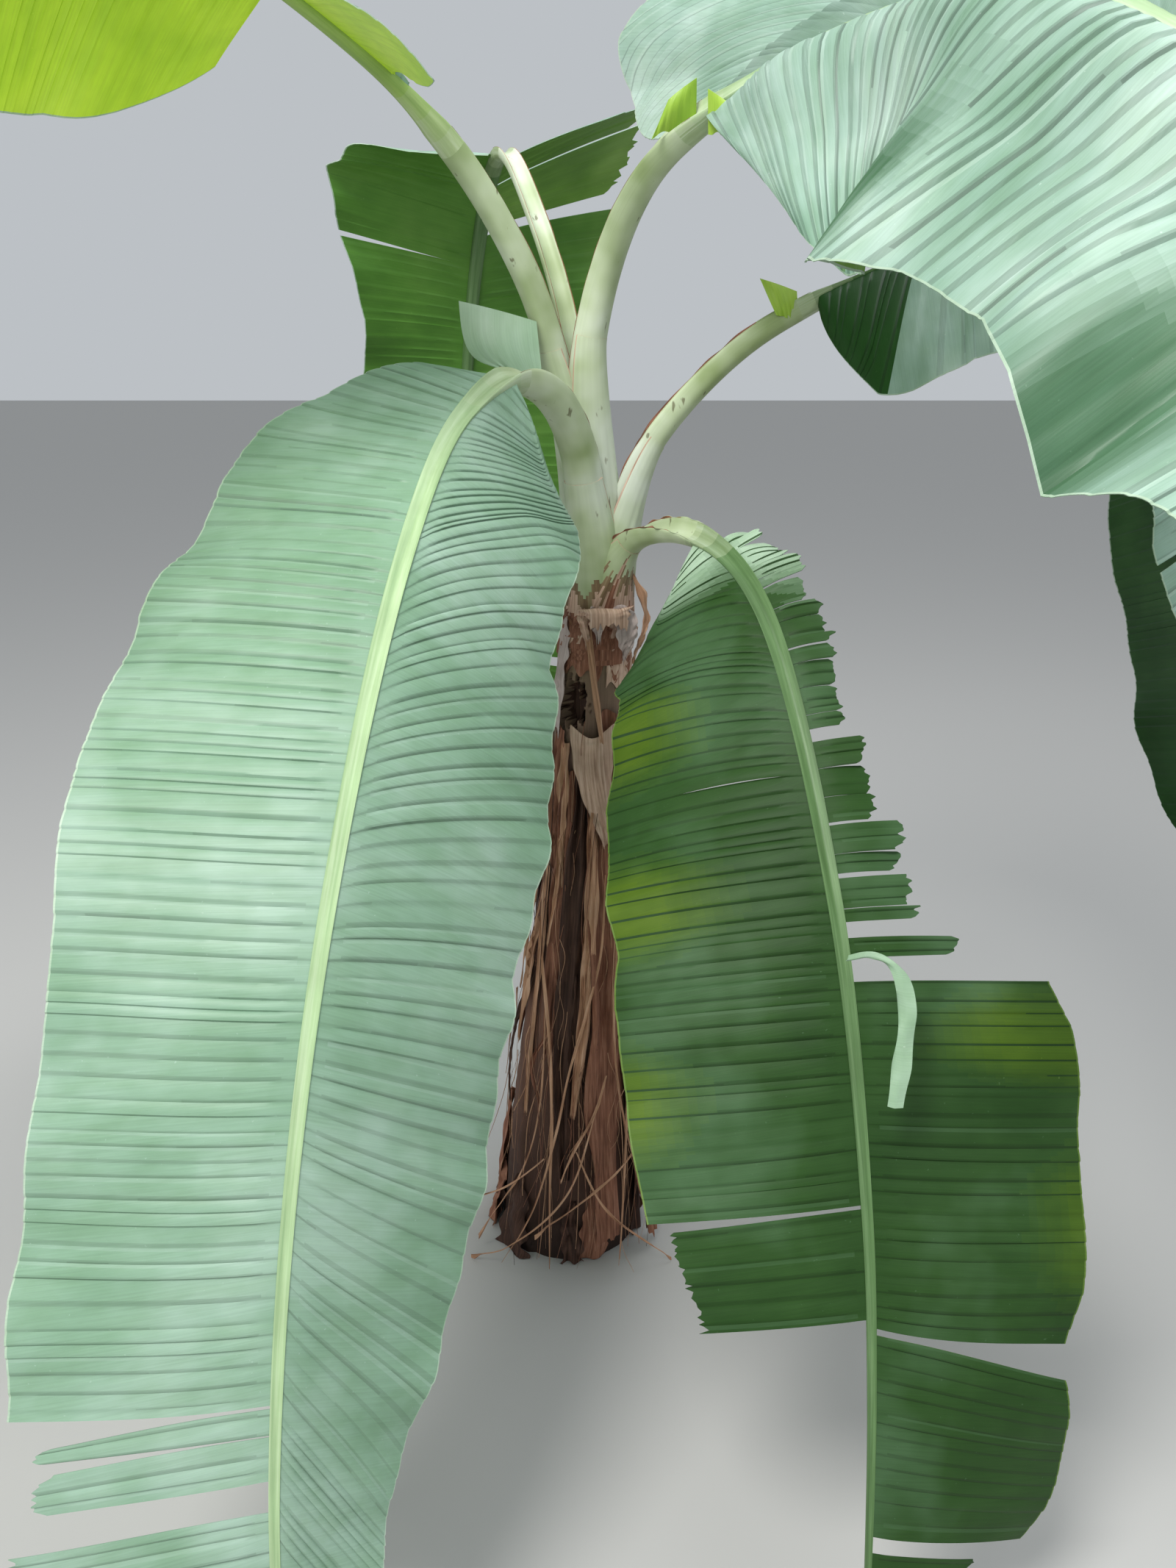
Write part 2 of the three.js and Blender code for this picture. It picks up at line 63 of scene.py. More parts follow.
# Its bark: the hollow, and the depth of the length grooves, the dents and the rings
CAVITY = dict(z=1074, bearing=-126, height=44, spread=27, depth=24)
BARK_GRID = (320, 180)
BARK_GROOVE = 0.5
BARK_DENT = 1.5
BARK_RING = 0.4

# The sheaths at the stalks' feet: how far below the crown they begin, how far out the lowest lies, how
# much further in height and reach the next ones lie, and the height up to which they are dry
SHEATH_DROP = 190
SHEATH_LIFT = 2.0
LAYER_DROP = 9
LAYER_LIFT = 0.8
DRY_TOP = 1236

# Half the thickness of thin pieces: dead leaves, the lips of a stalk, sheaths, lobes and the torn strip
DRY_HALF = 0.4
LIP_HALF = 0.35
SHEATH_HALF = 0.9
LOBE_HALF = 0.6
TORN_HALF = 0.5

# How many narrow dead sheaths there are, how many of them in front, the rags at the foot, and the fibres
NARROW_SHEATHS = 26
FRONT_SHEATHS = 16
FOOT_RAGS = 15
FIBRE_COUNT = 170

# Sizes that all leaves share. A pleat is a row of (share of its breadth, share of its height).
BLADE_THICKNESS = 1.1
PLEAT_PITCH = 18
PLEAT_SPREAD = 0.42
PLEAT_STEPS = ((0.0, 0.0), (0.2, 0.5), (0.5, 0.88), (0.76, 1.0), (0.88, 0.93))
# The painted highlight on a pleat's crest ends at this share of the pleat
PLEAT_HIGHLIGHT_UNTIL = 0.2
# From this share the pleat's downward slope takes painted shade
PLEAT_DUSK_SHADE_FROM = 0.76
# From this share its groove takes darker painted shade
PLEAT_GROOVE_SHADE_FROM = 0.88
# Waves of a blade: the billows' height; how many waves are added up, and the fewest and most on its length
BILLOW = 5
BILLOWS = (3, 2.5, 6)
FRILLS = (4, 7, 17)
RAGS = (5, 60, 260)
# The rib, the foot of a blade beside it, tears and slits
RIB_WIDTH = 30
RIB_TIP_WIDTH = 8
RIB_HUG = 0.44
FOOT_SHARE = 0.12
FOOT_ROUND = 0.82
TEAR_SHARE = 0.0028
TEAR_SPAN = (0.12, 1.15)
SLIT_SHARE = 0.0005
VEIN_BEND = 0.85
MARGIN_VALUES = 21

# The grid of a strip: its least rows and its columns, where the first and the last but one of them lie,
# and the stations between which its ends can open
BLADE_GRID = (7, 24)
FRAYED_GRID = (9, 9)
ROW_GAP = 0.0005
COLUMN_POWER = 0.92
UNDER_RIB = -0.004
RIM_SHARE = 0.008
TORN_RIM_SHARE = 0.04
FIRST_GAP = 0.03
LAST_GAP = 0.98

# In metres, the breadth below which a whole strip is loose
NARROW_STRIP = 0.07
# Where a half is frayed, a coarse strip becomes several: their breadth, reach and gaps
COARSE_SHARE = 0.02
FRAY_STEP = (0.007, 0.026)
FRAY_REACH = (0.86, 1.12)
FRAY_GAP = 0.001
FRAY_END = 0.004
# Loose strips: the slope, roughness and rounding of their ends, how far along they sag, and how they bend
FRAYED = dict(slope=(-0.22, 0.1), rough=0.045, rounding=(0.1, 5), sag=(0.0, 0.006), bend=(-3.6, 0.0))
NARROW = dict(slope=(-0.08, 0.08), rough=0.012, rounding=(0.07, 4), sag=(0.001, 0.005), bend=(-0.48, 0.08))

# What a leaf has unless it says otherwise. A pair holds the left half's value and the right half's.
# A list of rolls, folds, curls, slants, veins or margins is read evenly from the blade's foot to its tip.
COMMON = dict(
    width=(290, 290), start=(0, 0), taper_from=(0.6, 0.6), taper_power=2.2, margin=((), ()),
    roll=(0, 0), curl=((-20, -20), (-20, -20)), veins=((0, 0), (0, 0)), wave=(10, 3), swell=(0, 0),
    strips=([(0.005, 0.985, 1)], [(0.005, 0.985, 1)]), slits={}, tears={}, fringe=((0, 0), (0, 0)),
    pitch=PLEAT_PITCH, calm=0.15, contrast=1, creases=(), tints=(), rib_shade=(0, 0),
    bright_until=(-1, -1), shaded_until=(-1, -1), channel=1, dry_share=0, dry_foot=(0, 26), lobes=(),
)

# Each leaf: the rib's course from the crown to the tip, the share of it that is bare stalk and its width
# at both ends, the compass heading of its lean, and how its halves spread, droop and are torn.
# - width: of a half; base, start and taper_from: where it is full, begins and narrows
# - margin: the half width against the plain one, 1 where the list ends; ripple, wave: of the margin
# - roll turns both halves, fold and curl droop each; slant: how far forward a half's outer side lies
# - veins: how far a vein moves along the leaf on its way out; swell: a bulge beside the rib
# - strips: where each strip of a half starts and ends, and its share of the half width
# - tears: half the gap between two strips; slits: from where to where they are open; fringe: frayed
# - pleat, pitch: the pleats' depth and width; calm: how few grooves take painted shade; contrast: how dark
#   the painted shade on the pleats is
# - creases: single folds, with side, station, breadth and height
# - tints: name, side, first and last station, and the share of the half width where they start
# - rib_shade: painted shade beside the rib; bright_until, shaded_until: painted light through the lower
#   side, painted shade on the upper side, up to a station
# - channel: how deep the stalk's is; dry_share: of its lips; layer, dry_foot: of its sheath at the stem
# - lobes: patches at the blade's foot: look, bulge, bow and four corners, along the stalk, then outwards
LEAVES = [
    dict(
        name="front_left_leaf", slot="pale_leaf", upper="mint", lower="mint_under", rib_tone="pale",
        seed=3, layer=3, heading=-103,
        rib=(
            (45, -25, 1300), (20, -65, 1485), (-20, -115, 1565), (-70, -170, 1588), (-130, -235, 1545),
            (-190, -490, 1382), (-262, -835, 953), (-293, -1035, 508), (-280, -1140, 110),
        ),
        stalk_share=0.172, stalk_width=(72, 48), channel=0.55, dry_share=0.3,
        width=(285, 285), base=(0.08, 0.08), taper_from=(0.44, 0.75), taper_power=2.0, roll=(5, 15, 15),
        fold=((-33, -32), (-2, 6)), curl=((-20, -10), (-10, -10)), slant=((0.1, 0.15, 0.3),) * 2,
        wave=(12, 3),
        veins=(
            (0, -0.094, -0.155, -0.115, -0.078, -0.022, 0.042, 0.085, 0.08, 0.05, 0),
            (0, -0.025, -0.02, -0.014, -0.007, -0.009, -0.009, -0.013, -0.014, -0.01, 0),
        ),
        strips=(
            [(0, 0.985, 1)],
            [
                (0, 0.731, 1), (0.733, 0.748, 0.9), (0.749, 0.774, 0.88), (0.792, 0.93, 0.92),
                (0.932, 0.985, 0.9),
            ],
        ),
        margin=(
            (1, 0.9, 0.85, 0.88, 0.88, 0.94, 0.99, 1.02, 1.03, 0.97, 0.97, 0.98, 0.96, 0.95, 0.93, 0.89,
             0.85, 0.84, 0.86, 0.9),
            (1, 0.84, 0.95, 0.94, 1.03, 1.09, 1.1, 1.12, 1.09, 1.03, 1, 1, 0.99, 1, 0.97, 0.97),
        ),
        tears={(RIGHT, 0.731): 0.007, (RIGHT, 0.733): 0.007},
        pleat=2.6, ripple=5.0, calm=0.6, contrast=0.8,
        lobes=[
            ("bloom", (-6, -12, 8), (-14, 0, -22),
             ((-152, -62, 1690), (-40, -36, 1662), (-98, -96, 1600), (-30, -78, 1576))),
        ],
    ),
    dict(
        name="front_right_leaf", slot="deep_leaf", upper="deep", lower="deep_under", rib_tone="green",
        seed=5, layer=5, heading=-70,
        rib=(
            (66, -25, 1270), (105, -52, 1342), (160, -100, 1366), (220, -150, 1353), (284, -292, 1280),
            (351, -577, 968), (380, -759, 630), (383, -850, 420), (375, -960, 120),
        ),
        stalk_share=0.125, stalk_width=(54, 38), dry_share=0.8, dry_foot=(30, 38),
        width=(288, 288), base=(0.12, 0.12), taper_from=(0.82, 0.75), roll=(-32, -18, 0),
        fold=((0, 0), (-8, -1)), curl=((-20, -10), (-20, -10)), slant=((0.1, 0.1, 0.2),) * 2, wave=(8, 3),
        veins=(
            (0, -0.005, -0.01, -0.01, -0.01, -0.01, -0.01, -0.01, -0.008, -0.006, -0.004, -0.002, 0.003, 0,
             0, 0.02, 0.02, 0.015, 0.01, 0, 0),
            (0, -0.09, -0.075, -0.033, -0.025, -0.016, -0.005, -0.012, -0.01, 0, 0),
        ),
        fringe=((0, 0.42), (0, 0)),
        strips=(
            [
                (0.02, 0.1, 0.28), (0.102, 0.17, 0.22), (0.172, 0.25, 0.2), (0.262, 0.335, 0.26),
                (0.337, 0.38, 0.32), (0.382, 0.42, 0.36), (0.431, 0.447, 0.55), (0.466, 0.735, 1),
                (0.74, 0.897, 1), (0.91, 0.985, 0.7),
            ],
            [(0, 0.29, 1), (0.29, 0.64, 1), (0.643, 0.728, 0.85), (0.93, 0.985, 0.8)],
        ),
        slits={(RIGHT, 0.29): (0.05, 0.62)}, tears={(LEFT, 0.735): 0.008, (LEFT, 0.74): 0.008},
        margin=(
            (*[1] * 9, 0.87, 1.0, 1.04, 1.05, 1.03, 1, 0.92, 0.98, 1.01, 1.03),
            (1, 1.08, 0.9, 0.91, 0.97, 1.02, 1.04, 1.05, 1.02, 1.05, 1.03, 1.01, 0.97, 0.92, 0.9),
        ),
        tints=[
            ("tint", RIGHT, 0.16, 0.3, 0.45), ("tint", RIGHT, 0.32, 0.45, 0.4),
            ("tint", RIGHT, 0.48, 0.62, 0.66), ("tint", RIGHT, 0.03, 0.1, 0.7),
            ("tint", LEFT, 0.46, 0.56, 0.3), ("tint", LEFT, 0.56, 0.75, 0.72),
            # Pale patches by the foot: wax bloom with a painted sheen of the sky on it
            ("bloom", RIGHT, -0.12, 0.11, -0.3), ("bloom", LEFT, -0.12, 0.15, -0.3),
        ],
        pleat=2.2, ripple=4.0,
    ),
    dict(
        # Its lower side and rib take painted light shining through the leaf
        name="upper_left_leaf", slot="lit_leaf", upper="mint", lower="lit", rib_tone="lit",
        seed=7, layer=1, heading=-143,
        rib=(
            (22, 4, 1430), (-10, 0, 1595), (-50, -30, 1720), (-145, -110, 1880), (-265, -230, 1990),
            (-500, -380, 2120), (-770, -570, 2150), (-1030, -760, 2070), (-1250, -920, 1880),
            (-1380, -1020, 1660),
        ),
        stalk_share=0.24, stalk_width=(50, 40), channel=0.8,
        base=(0.06, 0.14), start=(0.036, 0.14),
        fold=((-20, -12, 0, 0), (-45, -45, -40, -30)), curl=((-10, -10), (-20, -20)),
        slant=((0, 0.15, 0.3),) * 2,
        strips=([(0.037, 0.985, 1)], [(0.15, 0.985, 1)]),
        margin=(
            (0, 0, 1.34, 1.24, 1.08, 1, 0.97, 1.02, 1, 0.98, 1.01, 1, 0.99),
            (1, 1, 1, 1, 1, 0.97, 1.02, 0.99, 1, 0.98, 1.02, 1, 0.99, 1.01),
        ),
        pleat=1.4, ripple=5.0,
    ),
    dict(
        # Its lower side is a yellow-green of painted light shining through the leaf
        name="upper_right_leaf", slot="pale_leaf", upper="pale", lower="pale_under", rib_tone="pale",
        seed=11, layer=0, heading=-42,
        rib=(
            (46, 2, 1430), (30, 0, 1560), (62, -25, 1740), (125, -110, 1865), (262, -260, 1953),
            (385, -405, 1987), (465, -590, 1975), (515, -785, 1900), (590, -1010, 1760),
            (670, -1240, 1520), (720, -1390, 1250),
        ),
        stalk_share=0.265, stalk_width=(60, 48), channel=0.7,
        width=(300, 310), base=(0.25, 0.13), roll=(-38, -34, -25),
        fold=((10, 30, 20, 10, 0), (-10, -20, -20, -10, -4, 0)),
        slant=((-2.2, -1.1, -0.4, 0, 0.3), (0.6, 0.3, 0.1, 0, 0.05, 0.2, 0.2, 0.2, 0.3)), wave=(14, 3),
        veins=(
            (0, -0.08, -0.15, -0.19, -0.19, -0.15, -0.1, -0.06, -0.03, 0, 0),
            (0, -0.01, -0.02, -0.035, -0.05, -0.065, -0.075, -0.08, -0.075, -0.065, -0.055, -0.045, -0.03,
             -0.015, *[0] * 7),
        ),
        margin=(
            (0.8, 0.87, 1.14, 1.2, 1.22, 1.2, 1.12, 1.05),
            (1.1, 1.3, 1.15, 1.03, 0.97, 0.96, 1, 1.08, 1.08, 0.93, 0.88, 0.84, 0.88, 0.97, 0.88, 0.87,
             0.95),
        ),
        creases=[
            (RIGHT, 0.17, 0.12, -12), (RIGHT, 0.31, 0.06, 16), (RIGHT, 0.46, 0.07, -14),
            (RIGHT, 0.575, 0.05, 34), (RIGHT, 0.65, 0.045, -40), (RIGHT, 0.72, 0.045, 16),
            (RIGHT, 0.82, 0.05, -18), (LEFT, 0.3, 0.07, 16), (LEFT, 0.52, 0.06, -18),
        ],
        tints=[
            # Greener bands with painted shade, on the sides turned from the light
            ("dim", RIGHT, 0.595, 0.7, 0.2), ("dim", RIGHT, 0.33, 0.47, 0.3), ("dim", LEFT, 0.3, 0.5, 0.3),
        ],
        pleat=3.4, pitch=25, ripple=3.0, calm=0.6, contrast=1.7, swell=(6, 26), rib_shade=(0.12, 0),
        # Yellow-green flaps at the foot, in painted light shining through them
        lobes=[
            ("leaf_light", (-4, -8, 0), (0, 0, 0),
             ((178, -176, 1957), (142, -176, 1932), (180, -158, 1912), (122, -170, 1888))),
            ("leaf_light", (4, -10, 0), (0, 0, 0),
             ((190, -216, 1938), (232, -246, 1905), (193, -208, 1886), (219, -238, 1884))),
        ],
    ),
    dict(
        # Its lower side takes a painted shade tone
        name="back_left_leaf", slot="deep_leaf", upper="pale", lower="shade_under", rib_tone="green",
        seed=13, layer=2, heading=110,
        rib=(
            (33, 26, 1410), (5, 32, 1660), (-45, 85, 1820), (-95, 180, 1915),
            (-135, 300, 1860), (-180, 375, 1620), (-205, 420, 1250), (-210, 430, 640),
        ),
        stalk_share=0.31, stalk_width=(36, 28),
        width=(280, 280), base=(0.04, 0.05), fold=((0, 0), (20, 0, 0)), curl=((-10, -10), (-10, -10)),
        slant=((-0.3, 0.15, 0.3), (-0.35, 0.1, 0.3)),
        strips=(
            [(0, 0.17, 1), (0.17, 0.42, 1), (0.425, 0.985, 1)],
            [(0.02, 0.062, 1.02), (0.064, 0.12, 0.93), (0.13, 0.31, 1), (0.312, 0.7, 1), (0.71, 0.985, 1)],
        ),
        margin=(
            (0.6, 0.86, 0.98, 0.92, 0.8, 0.71, 0.68, 0.7, 0.72, 0.78, 0.84, 0.9, 0.95, 1, 0.98),
            (0.7, 0.95, 1.04, 0.97, 1.0, 0.94, 0.99, 0.95, 1, 0.97, 1, 1.02, 0.97),
        ),
        # The lower side of the right half's first strips takes painted light shining through the leaf
        pleat=1.8, ripple=7.0, bright_until=(-1, 0.13),
    ),
    dict(
        # Its lower side takes the painted shade tone
        name="back_right_leaf", slot="deep_leaf", upper="pale", lower="shade", rib_tone="green",
        seed=17, layer=4, heading=-8,
        rib=(
            (80, -5, 1310), (95, 5, 1410), (140, 20, 1495), (250, 50, 1610), (355, 60, 1680),
            (560, 40, 1765), (740, 10, 1790), (880, -30, 1710), (970, -70, 1540), (1030, -110, 1200),
            (1040, -130, 840),
        ),
        stalk_share=0.27, stalk_width=(58, 44), dry_share=0.8,
        width=(285, 270), base=(0.06, 0.18), fold=((0, -10, -10), (-44, -26, -10)),
        slant=((0.1, 0.15, 0.3), (-0.25, 0.1, 0.2, 0.3)),
        veins=((0, 0), (0, -0.03, -0.06, -0.01, *[0] * 17)),
        strips=(
            [(0, 0.5, 1), (0.504, 0.985, 1)],
            [
                (0, 0.182, 1), (0.184, 0.19, 1.02), (0.194, 0.2, 0.9), (0.21, 0.61, 1), (0.612, 0.8, 1),
                (0.802, 0.985, 1),
            ],
        ),
        margin=((), (1.05, 1.32, 1.12, 0.9, 0.84, 0.95)),
        # The foot of the right half is painted in shade on its upper side
        pleat=2.2, ripple=5.0, shaded_until=(-1, 0.11),
        # A yellow-green flap at the foot, in painted light shining through it
        lobes=[
            ("leaf_light", (0, -8, 2), (0, 0, 0),
             ((299, 32, 1724), (358, 42, 1706), (327, 34, 1672), (363, 46, 1664))),
        ],
    ),
]
LEAVES = [COMMON | leaf for leaf in LEAVES]


def tones(**sets):
    """Named sets of a deep, a main and a light tone."""
    return {name: np.array(values) for name, values in sets.items()}


# Colours, linear
PALETTE = tones(
    mint=((0.14, 0.265, 0.16), (0.215, 0.35, 0.245), (0.34, 0.47, 0.385)),
    mint_under=((0.2, 0.34, 0.22), (0.28, 0.43, 0.31), (0.38, 0.53, 0.42)),
    deep=((0.011, 0.04, 0.006), (0.023, 0.066, 0.013), (0.07, 0.14, 0.066)),
    bloom=((0.2, 0.33, 0.2), (0.32, 0.46, 0.32), (0.46, 0.58, 0.45)),
    deep_under=((0.05, 0.12, 0.03), (0.08, 0.17, 0.05), (0.14, 0.24, 0.11)),
    # The upper left leaf's lower side: yellow-green of painted light shining through the leaf
    lit=((0.45, 0.71, 0.026), (0.6, 0.86, 0.046), (0.7, 0.9, 0.09)),
    pale=((0.13, 0.26, 0.165), (0.3, 0.44, 0.355), (0.54, 0.67, 0.59)),
    # The upper right leaf's lower side: yellow-green of painted light shining through the leaf
    pale_under=((0.1, 0.24, 0.02), (0.17, 0.34, 0.04), (0.28, 0.45, 0.1)),
    # Painted shade: dark green for the back right leaf's lower side and the shaded foot of its right half
    shade=((0.009, 0.05, 0.006), (0.015, 0.078, 0.01), (0.045, 0.14, 0.03)),
    # The back left leaf's lower side: painted shade, a dark green
    shade_under=((0.05, 0.15, 0.018), (0.08, 0.21, 0.028), (0.15, 0.3, 0.06)),
    # Flaps at a blade's foot: painted light shining through them
    leaf_light=((0.2, 0.36, 0.03), (0.33, 0.51, 0.055), (0.45, 0.62, 0.12)),
    # The back left leaf's lower side by its foot: painted light shining through the leaf
    bright=((0.07, 0.17, 0.022), (0.12, 0.26, 0.035), (0.24, 0.4, 0.09)),
    # A greener tone, less waxy, with painted shade for the sides of a blade turned from the light
    dim=((0.035, 0.1, 0.045), (0.062, 0.145, 0.075), (0.13, 0.24, 0.15)),
    tint=((0.032, 0.075, 0.004), (0.056, 0.11, 0.006), (0.11, 0.175, 0.016)),
)
MARGIN_COLOURS = tones(
    mint=((0.28, 0.4, 0.28), (0.38, 0.5, 0.38), (0.5, 0.61, 0.5)),
    deep=((0.06, 0.12, 0.02), (0.1, 0.17, 0.03), (0.17, 0.25, 0.08)),
)
RIB_COLOURS = tones(
    pale=((0.23, 0.36, 0.18), (0.34, 0.48, 0.26), (0.47, 0.6, 0.38)),
    green=((0.05, 0.11, 0.03), (0.088, 0.172, 0.06), (0.165, 0.275, 0.12)),
    # The upper left leaf's rib: painted light shining through, as on its blade
    lit=((0.2, 0.34, 0.07), (0.32, 0.46, 0.12), (0.46, 0.58, 0.24)),
)
STALK_COLOURS = tones(
    bare=((0.27, 0.35, 0.15), (0.47, 0.55, 0.35), (0.66, 0.72, 0.6)),
    foot=((0.1, 0.055, 0.03), (0.25, 0.17, 0.09), (0.42, 0.38, 0.23)),
)
DRY_COLOURS = tones(
    straw=((0.3, 0.155, 0.088), (0.53, 0.3, 0.185), (0.72, 0.48, 0.34)),
    brown=((0.1, 0.038, 0.024), (0.27, 0.115, 0.07), (0.46, 0.24, 0.16)),
    dark=((0.02, 0.009, 0.006), (0.058, 0.027, 0.018), (0.13, 0.066, 0.045)),
    papery=((0.32, 0.19, 0.135), (0.6, 0.41, 0.31), (0.82, 0.64, 0.53)),
    mauve=((0.36, 0.28, 0.26), (0.52, 0.43, 0.41), (0.66, 0.57, 0.55)),
)
# The stem's tone by height: near black at the foot, where painted shade lies over the dry brown, brown
# higher up and olive under the crown
STEM_ZONES = (
    (0.0, (0.026, 0.013, 0.009)), (0.16, (0.085, 0.042, 0.029)), (0.42, (0.25, 0.132, 0.092)),
    (0.7, (0.21, 0.125, 0.098)), (0.84, (0.22, 0.155, 0.105)), (0.93, (0.24, 0.19, 0.1)),
)
STRAW, BROWN, DARK, PAPERY, MAUVE = range(len(DRY_COLOURS))
# The rings of a limb from which the stalk's colour goes over to the rib's, step by step
COLOUR_RINGS = (56, 59, 62, 65)
# Tints: a yellowish green, wax bloom with a painted sheen of the sky, and a greener tone with painted shade
TINT_NAMES = ("tint", "bloom", "dim")
TINT_STEPS = 8
# How far a crest is lightened towards the light tone: a painted highlight
CREST_HIGHLIGHT_SHARE = 0.26
# How far dusk rows, soft grooves and grooves are darkened: painted shade
DUSK_SHADE_SHARE = 0.8
SOFT_GROOVE_SHADE_SHARE = 0.82
GROOVE_SHADE_SHARE = 0.66

# Broad dead sheaths: look, depth and number of folds, widths, and bearing, height and lift of the points
SHEATHS = [
    (PAPERY, 7, 0.9, (76, 68, 40, 14), ((-88, 1034, 12), (-86, 975, 25), (-78, 900, 28), (-68, 838, 24))),
    (BROWN, 5, 1.6, (26, 22, 26, 12), ((-140, 1030, 5), (-141, 940, 8), (-138, 860, 9), (-134, 790, 8))),
    (STRAW, 4, 1.2, (16, 20, 14, 10), ((-128, 1010, 6), (-124, 920, 10), (-124, 840, 10), (-120, 760, 12))),
    (BROWN, 8, 1.3, (40, 52, 44, 20), ((-62, 1060, 4), (-58, 980, 9), (-60, 900, 11), (-66, 830, 10))),
    (BROWN, 9, 1.6, (30, 60, 72, 66, 40),
     ((-70, 1000, 6), (-66, 800, 14), (-64, 560, 17), (-66, 320, 20), (-62, 60, 30))),
    (DARK, 8, 1.9, (24, 40, 50, 46, 20),
     ((-96, 990, 6), (-100, 780, 12), (-102, 560, 15), (-100, 380, 16), (-96, 200, 22))),
    (BROWN, 5, 1.5, (20, 30, 26, 14), ((-118, 960, 5), (-122, 780, 8), (-124, 600, 9), (-120, 440, 12))),
    (BROWN, 10, 1.7, (34, 58, 70, 60, 34),
     ((-42, 1020, 6), (-38, 760, 14), (-34, 480, 18), (-30, 220, 24), (-24, 30, 44))),
    (STRAW, 5, 1.3, (14, 26, 24, 10), ((-84, 900, 12), (-82, 700, 20), (-86, 500, 22), (-92, 330, 24))),
    (DARK, 8, 1.8, (40, 58, 56, 26), ((-12, 980, 5), (-8, 720, 12), (-12, 440, 16), (-6, 160, 26))),
    (BROWN, 8, 1.6, (44, 56, 50, 30), ((18, 930, 5), (15, 700, 10), (10, 400, 14), (2, 110, 26))),
    (BROWN, 8, 2.1, (60, 70, 56, 34), ((95, 960, 5), (100, 700, 10), (106, 420, 14), (100, 90, 26))),
    (STRAW, 6, 1.4, (30, 44, 34, 14), ((60, 1000, 5), (56, 760, 9), (62, 520, 13), (66, 330, 18))),
    (DARK, 5, 1.4, (28, 36, 30, 12), ((150, 980, 4), (156, 760, 8), (150, 560, 10), (158, 380, 14))),
    (STRAW, 3, 1.1, (12, 18, 14, 8), ((-150, 900, 4), (-148, 640, 6), (-146, 420, 7), (-140, 300, 10))),
    (STRAW, 6, 1.6, (24, 34, 30, 16), ((125, 900, 4), (128, 600, 9), (134, 300, 14), (140, 60, 34))),
]
# Long fibres that stand clear of the stem: width, and bearing, height and lift of the points
FIBRES = [
    (7, ((-150, 760, 12), (-134, 630, 20), (-116, 480, 26), (-108, 336, 30), (-106, 198, 30),
         (-103, 8, 34))),
    (5, ((-68, 780, 18), (-72, 642, 26), (-84, 528, 28), (-96, 414, 28), (-104, 282, 30), (-116, 130, 36),
         (-132, 8, 56))),
    (6, ((-66, 402, 26), (-76, 330, 30), (-88, 270, 32), (-98, 200, 34))),
    (6, ((-40, 250, 40), (-62, 205, 42), (-84, 160, 44), (-112, 92, 52))),
    (5, ((-112, 232, 26), (-136, 160, 40), (-160, 95, 62), (-170, 50, 90))),
    (9, ((-104, 1218, 16), (-94, 1146, 13), (-84, 1074, 15), (-72, 972, 22), (-58, 864, 24))),
    (5, ((-98, 1210, 14), (-90, 1140, 10), (-80, 1050, 12), (-66, 940, 18), (-64, 850, 22))),
    (5, ((-30, 600, 30), (-44, 420, 34), (-52, 260, 38), (-60, 40, 60))),
    (4, ((-55, 700, 26), (-60, 480, 30), (-52, 300, 34), (-36, 90, 60))),
    (4, ((-125, 520, 16), (-120, 360, 20), (-128, 210, 26), (-150, 40, 70))),
    (4, ((-76, 330, 34), (-92, 180, 40), (-124, 60, 60), (-146, 10, 92))),
    (5, ((-88, 260, 34), (-70, 150, 44), (-46, 60, 70), (-34, 10, 104))),
]
# The collar's rings: lowest and highest edge, first and last bearing, the fold of the lip, and look
COLLAR_RINGS = (
    (1128, 1216, -172, -6, 5, BROWN), (1100, 1196, -70, 60, 5, PAPERY), (1140, 1228, 40, 190, 8, PAPERY),
)
# The collar's flaps, as the sheaths, with the look of their lower side after that of the upper
FLAPS = [
    (PAPERY, BROWN, 7, 1.2, (58, 70, 78, 76, 62),
     ((-82, 1206, 12), (-81, 1226, 22), (-80, 1240, 36), (-79, 1234, 47), (-78, 1220, 45))),
    (MAUVE, BROWN, 6, 0.5, (40, 42, 30, 6),
     ((-60, 1236, 26), (-57, 1212, 34), (-55, 1188, 32), (-54, 1160, 24))),
    (STRAW, PAPERY, 5, 0.8, (3, 16, 18, 14, 4),
     ((-36, 1292, 12), (-22, 1250, 24), (-10, 1206, 27), (-18, 1176, 22), (-30, 1148, 14))),
    (PAPERY, BROWN, 5, 0.8, (12, 18, 14, 8),
     ((-112, 1236, 10), (-108, 1220, 16), (-104, 1200, 16), (-100, 1180, 12))),
    (MAUVE, BROWN, 4, 0.9, (16, 20, 16, 8),
     ((-92, 1238, 14), (-90, 1220, 22), (-88, 1204, 24), (-86, 1190, 18))),
    (MAUVE, BROWN, 3, 0.5, (34, 40, 36, 24),
     ((-150, 1215, 6), (-148, 1160, 6), (-150, 1100, 7), (-152, 1030, 8))),
]
# The strip that hangs from the front right leaf: its points and its widths
HANGING_PATH = (
    (354, -655, 930), (381, -672, 943), (408, -690, 931), (417, -712, 893),
    (410, -738, 841), (400, -762, 790),
)
HANGING_WIDTHS = (9, 12, 17, 22, 20, 23, 19)

# Floor and camera, in metres, degrees and pixels of the picture
FLOOR_REACH = 30
CAMERA_PLACE = (0.037, -1.98, 1.65)
CAMERA_PITCH = 20.4
CAMERA_FOCAL_PIXELS = 1660
PICTURE_HEIGHT = 2133


# Small helpers

def lerp(low, high, share):
    return low + (high - low) * share


def smooth(low, high, value):
    """0 below low, 1 above high, and an even curve between them."""
    share = np.clip((value - low) / (high - low), 0, 1)
    return share * share * (3 - 2 * share)


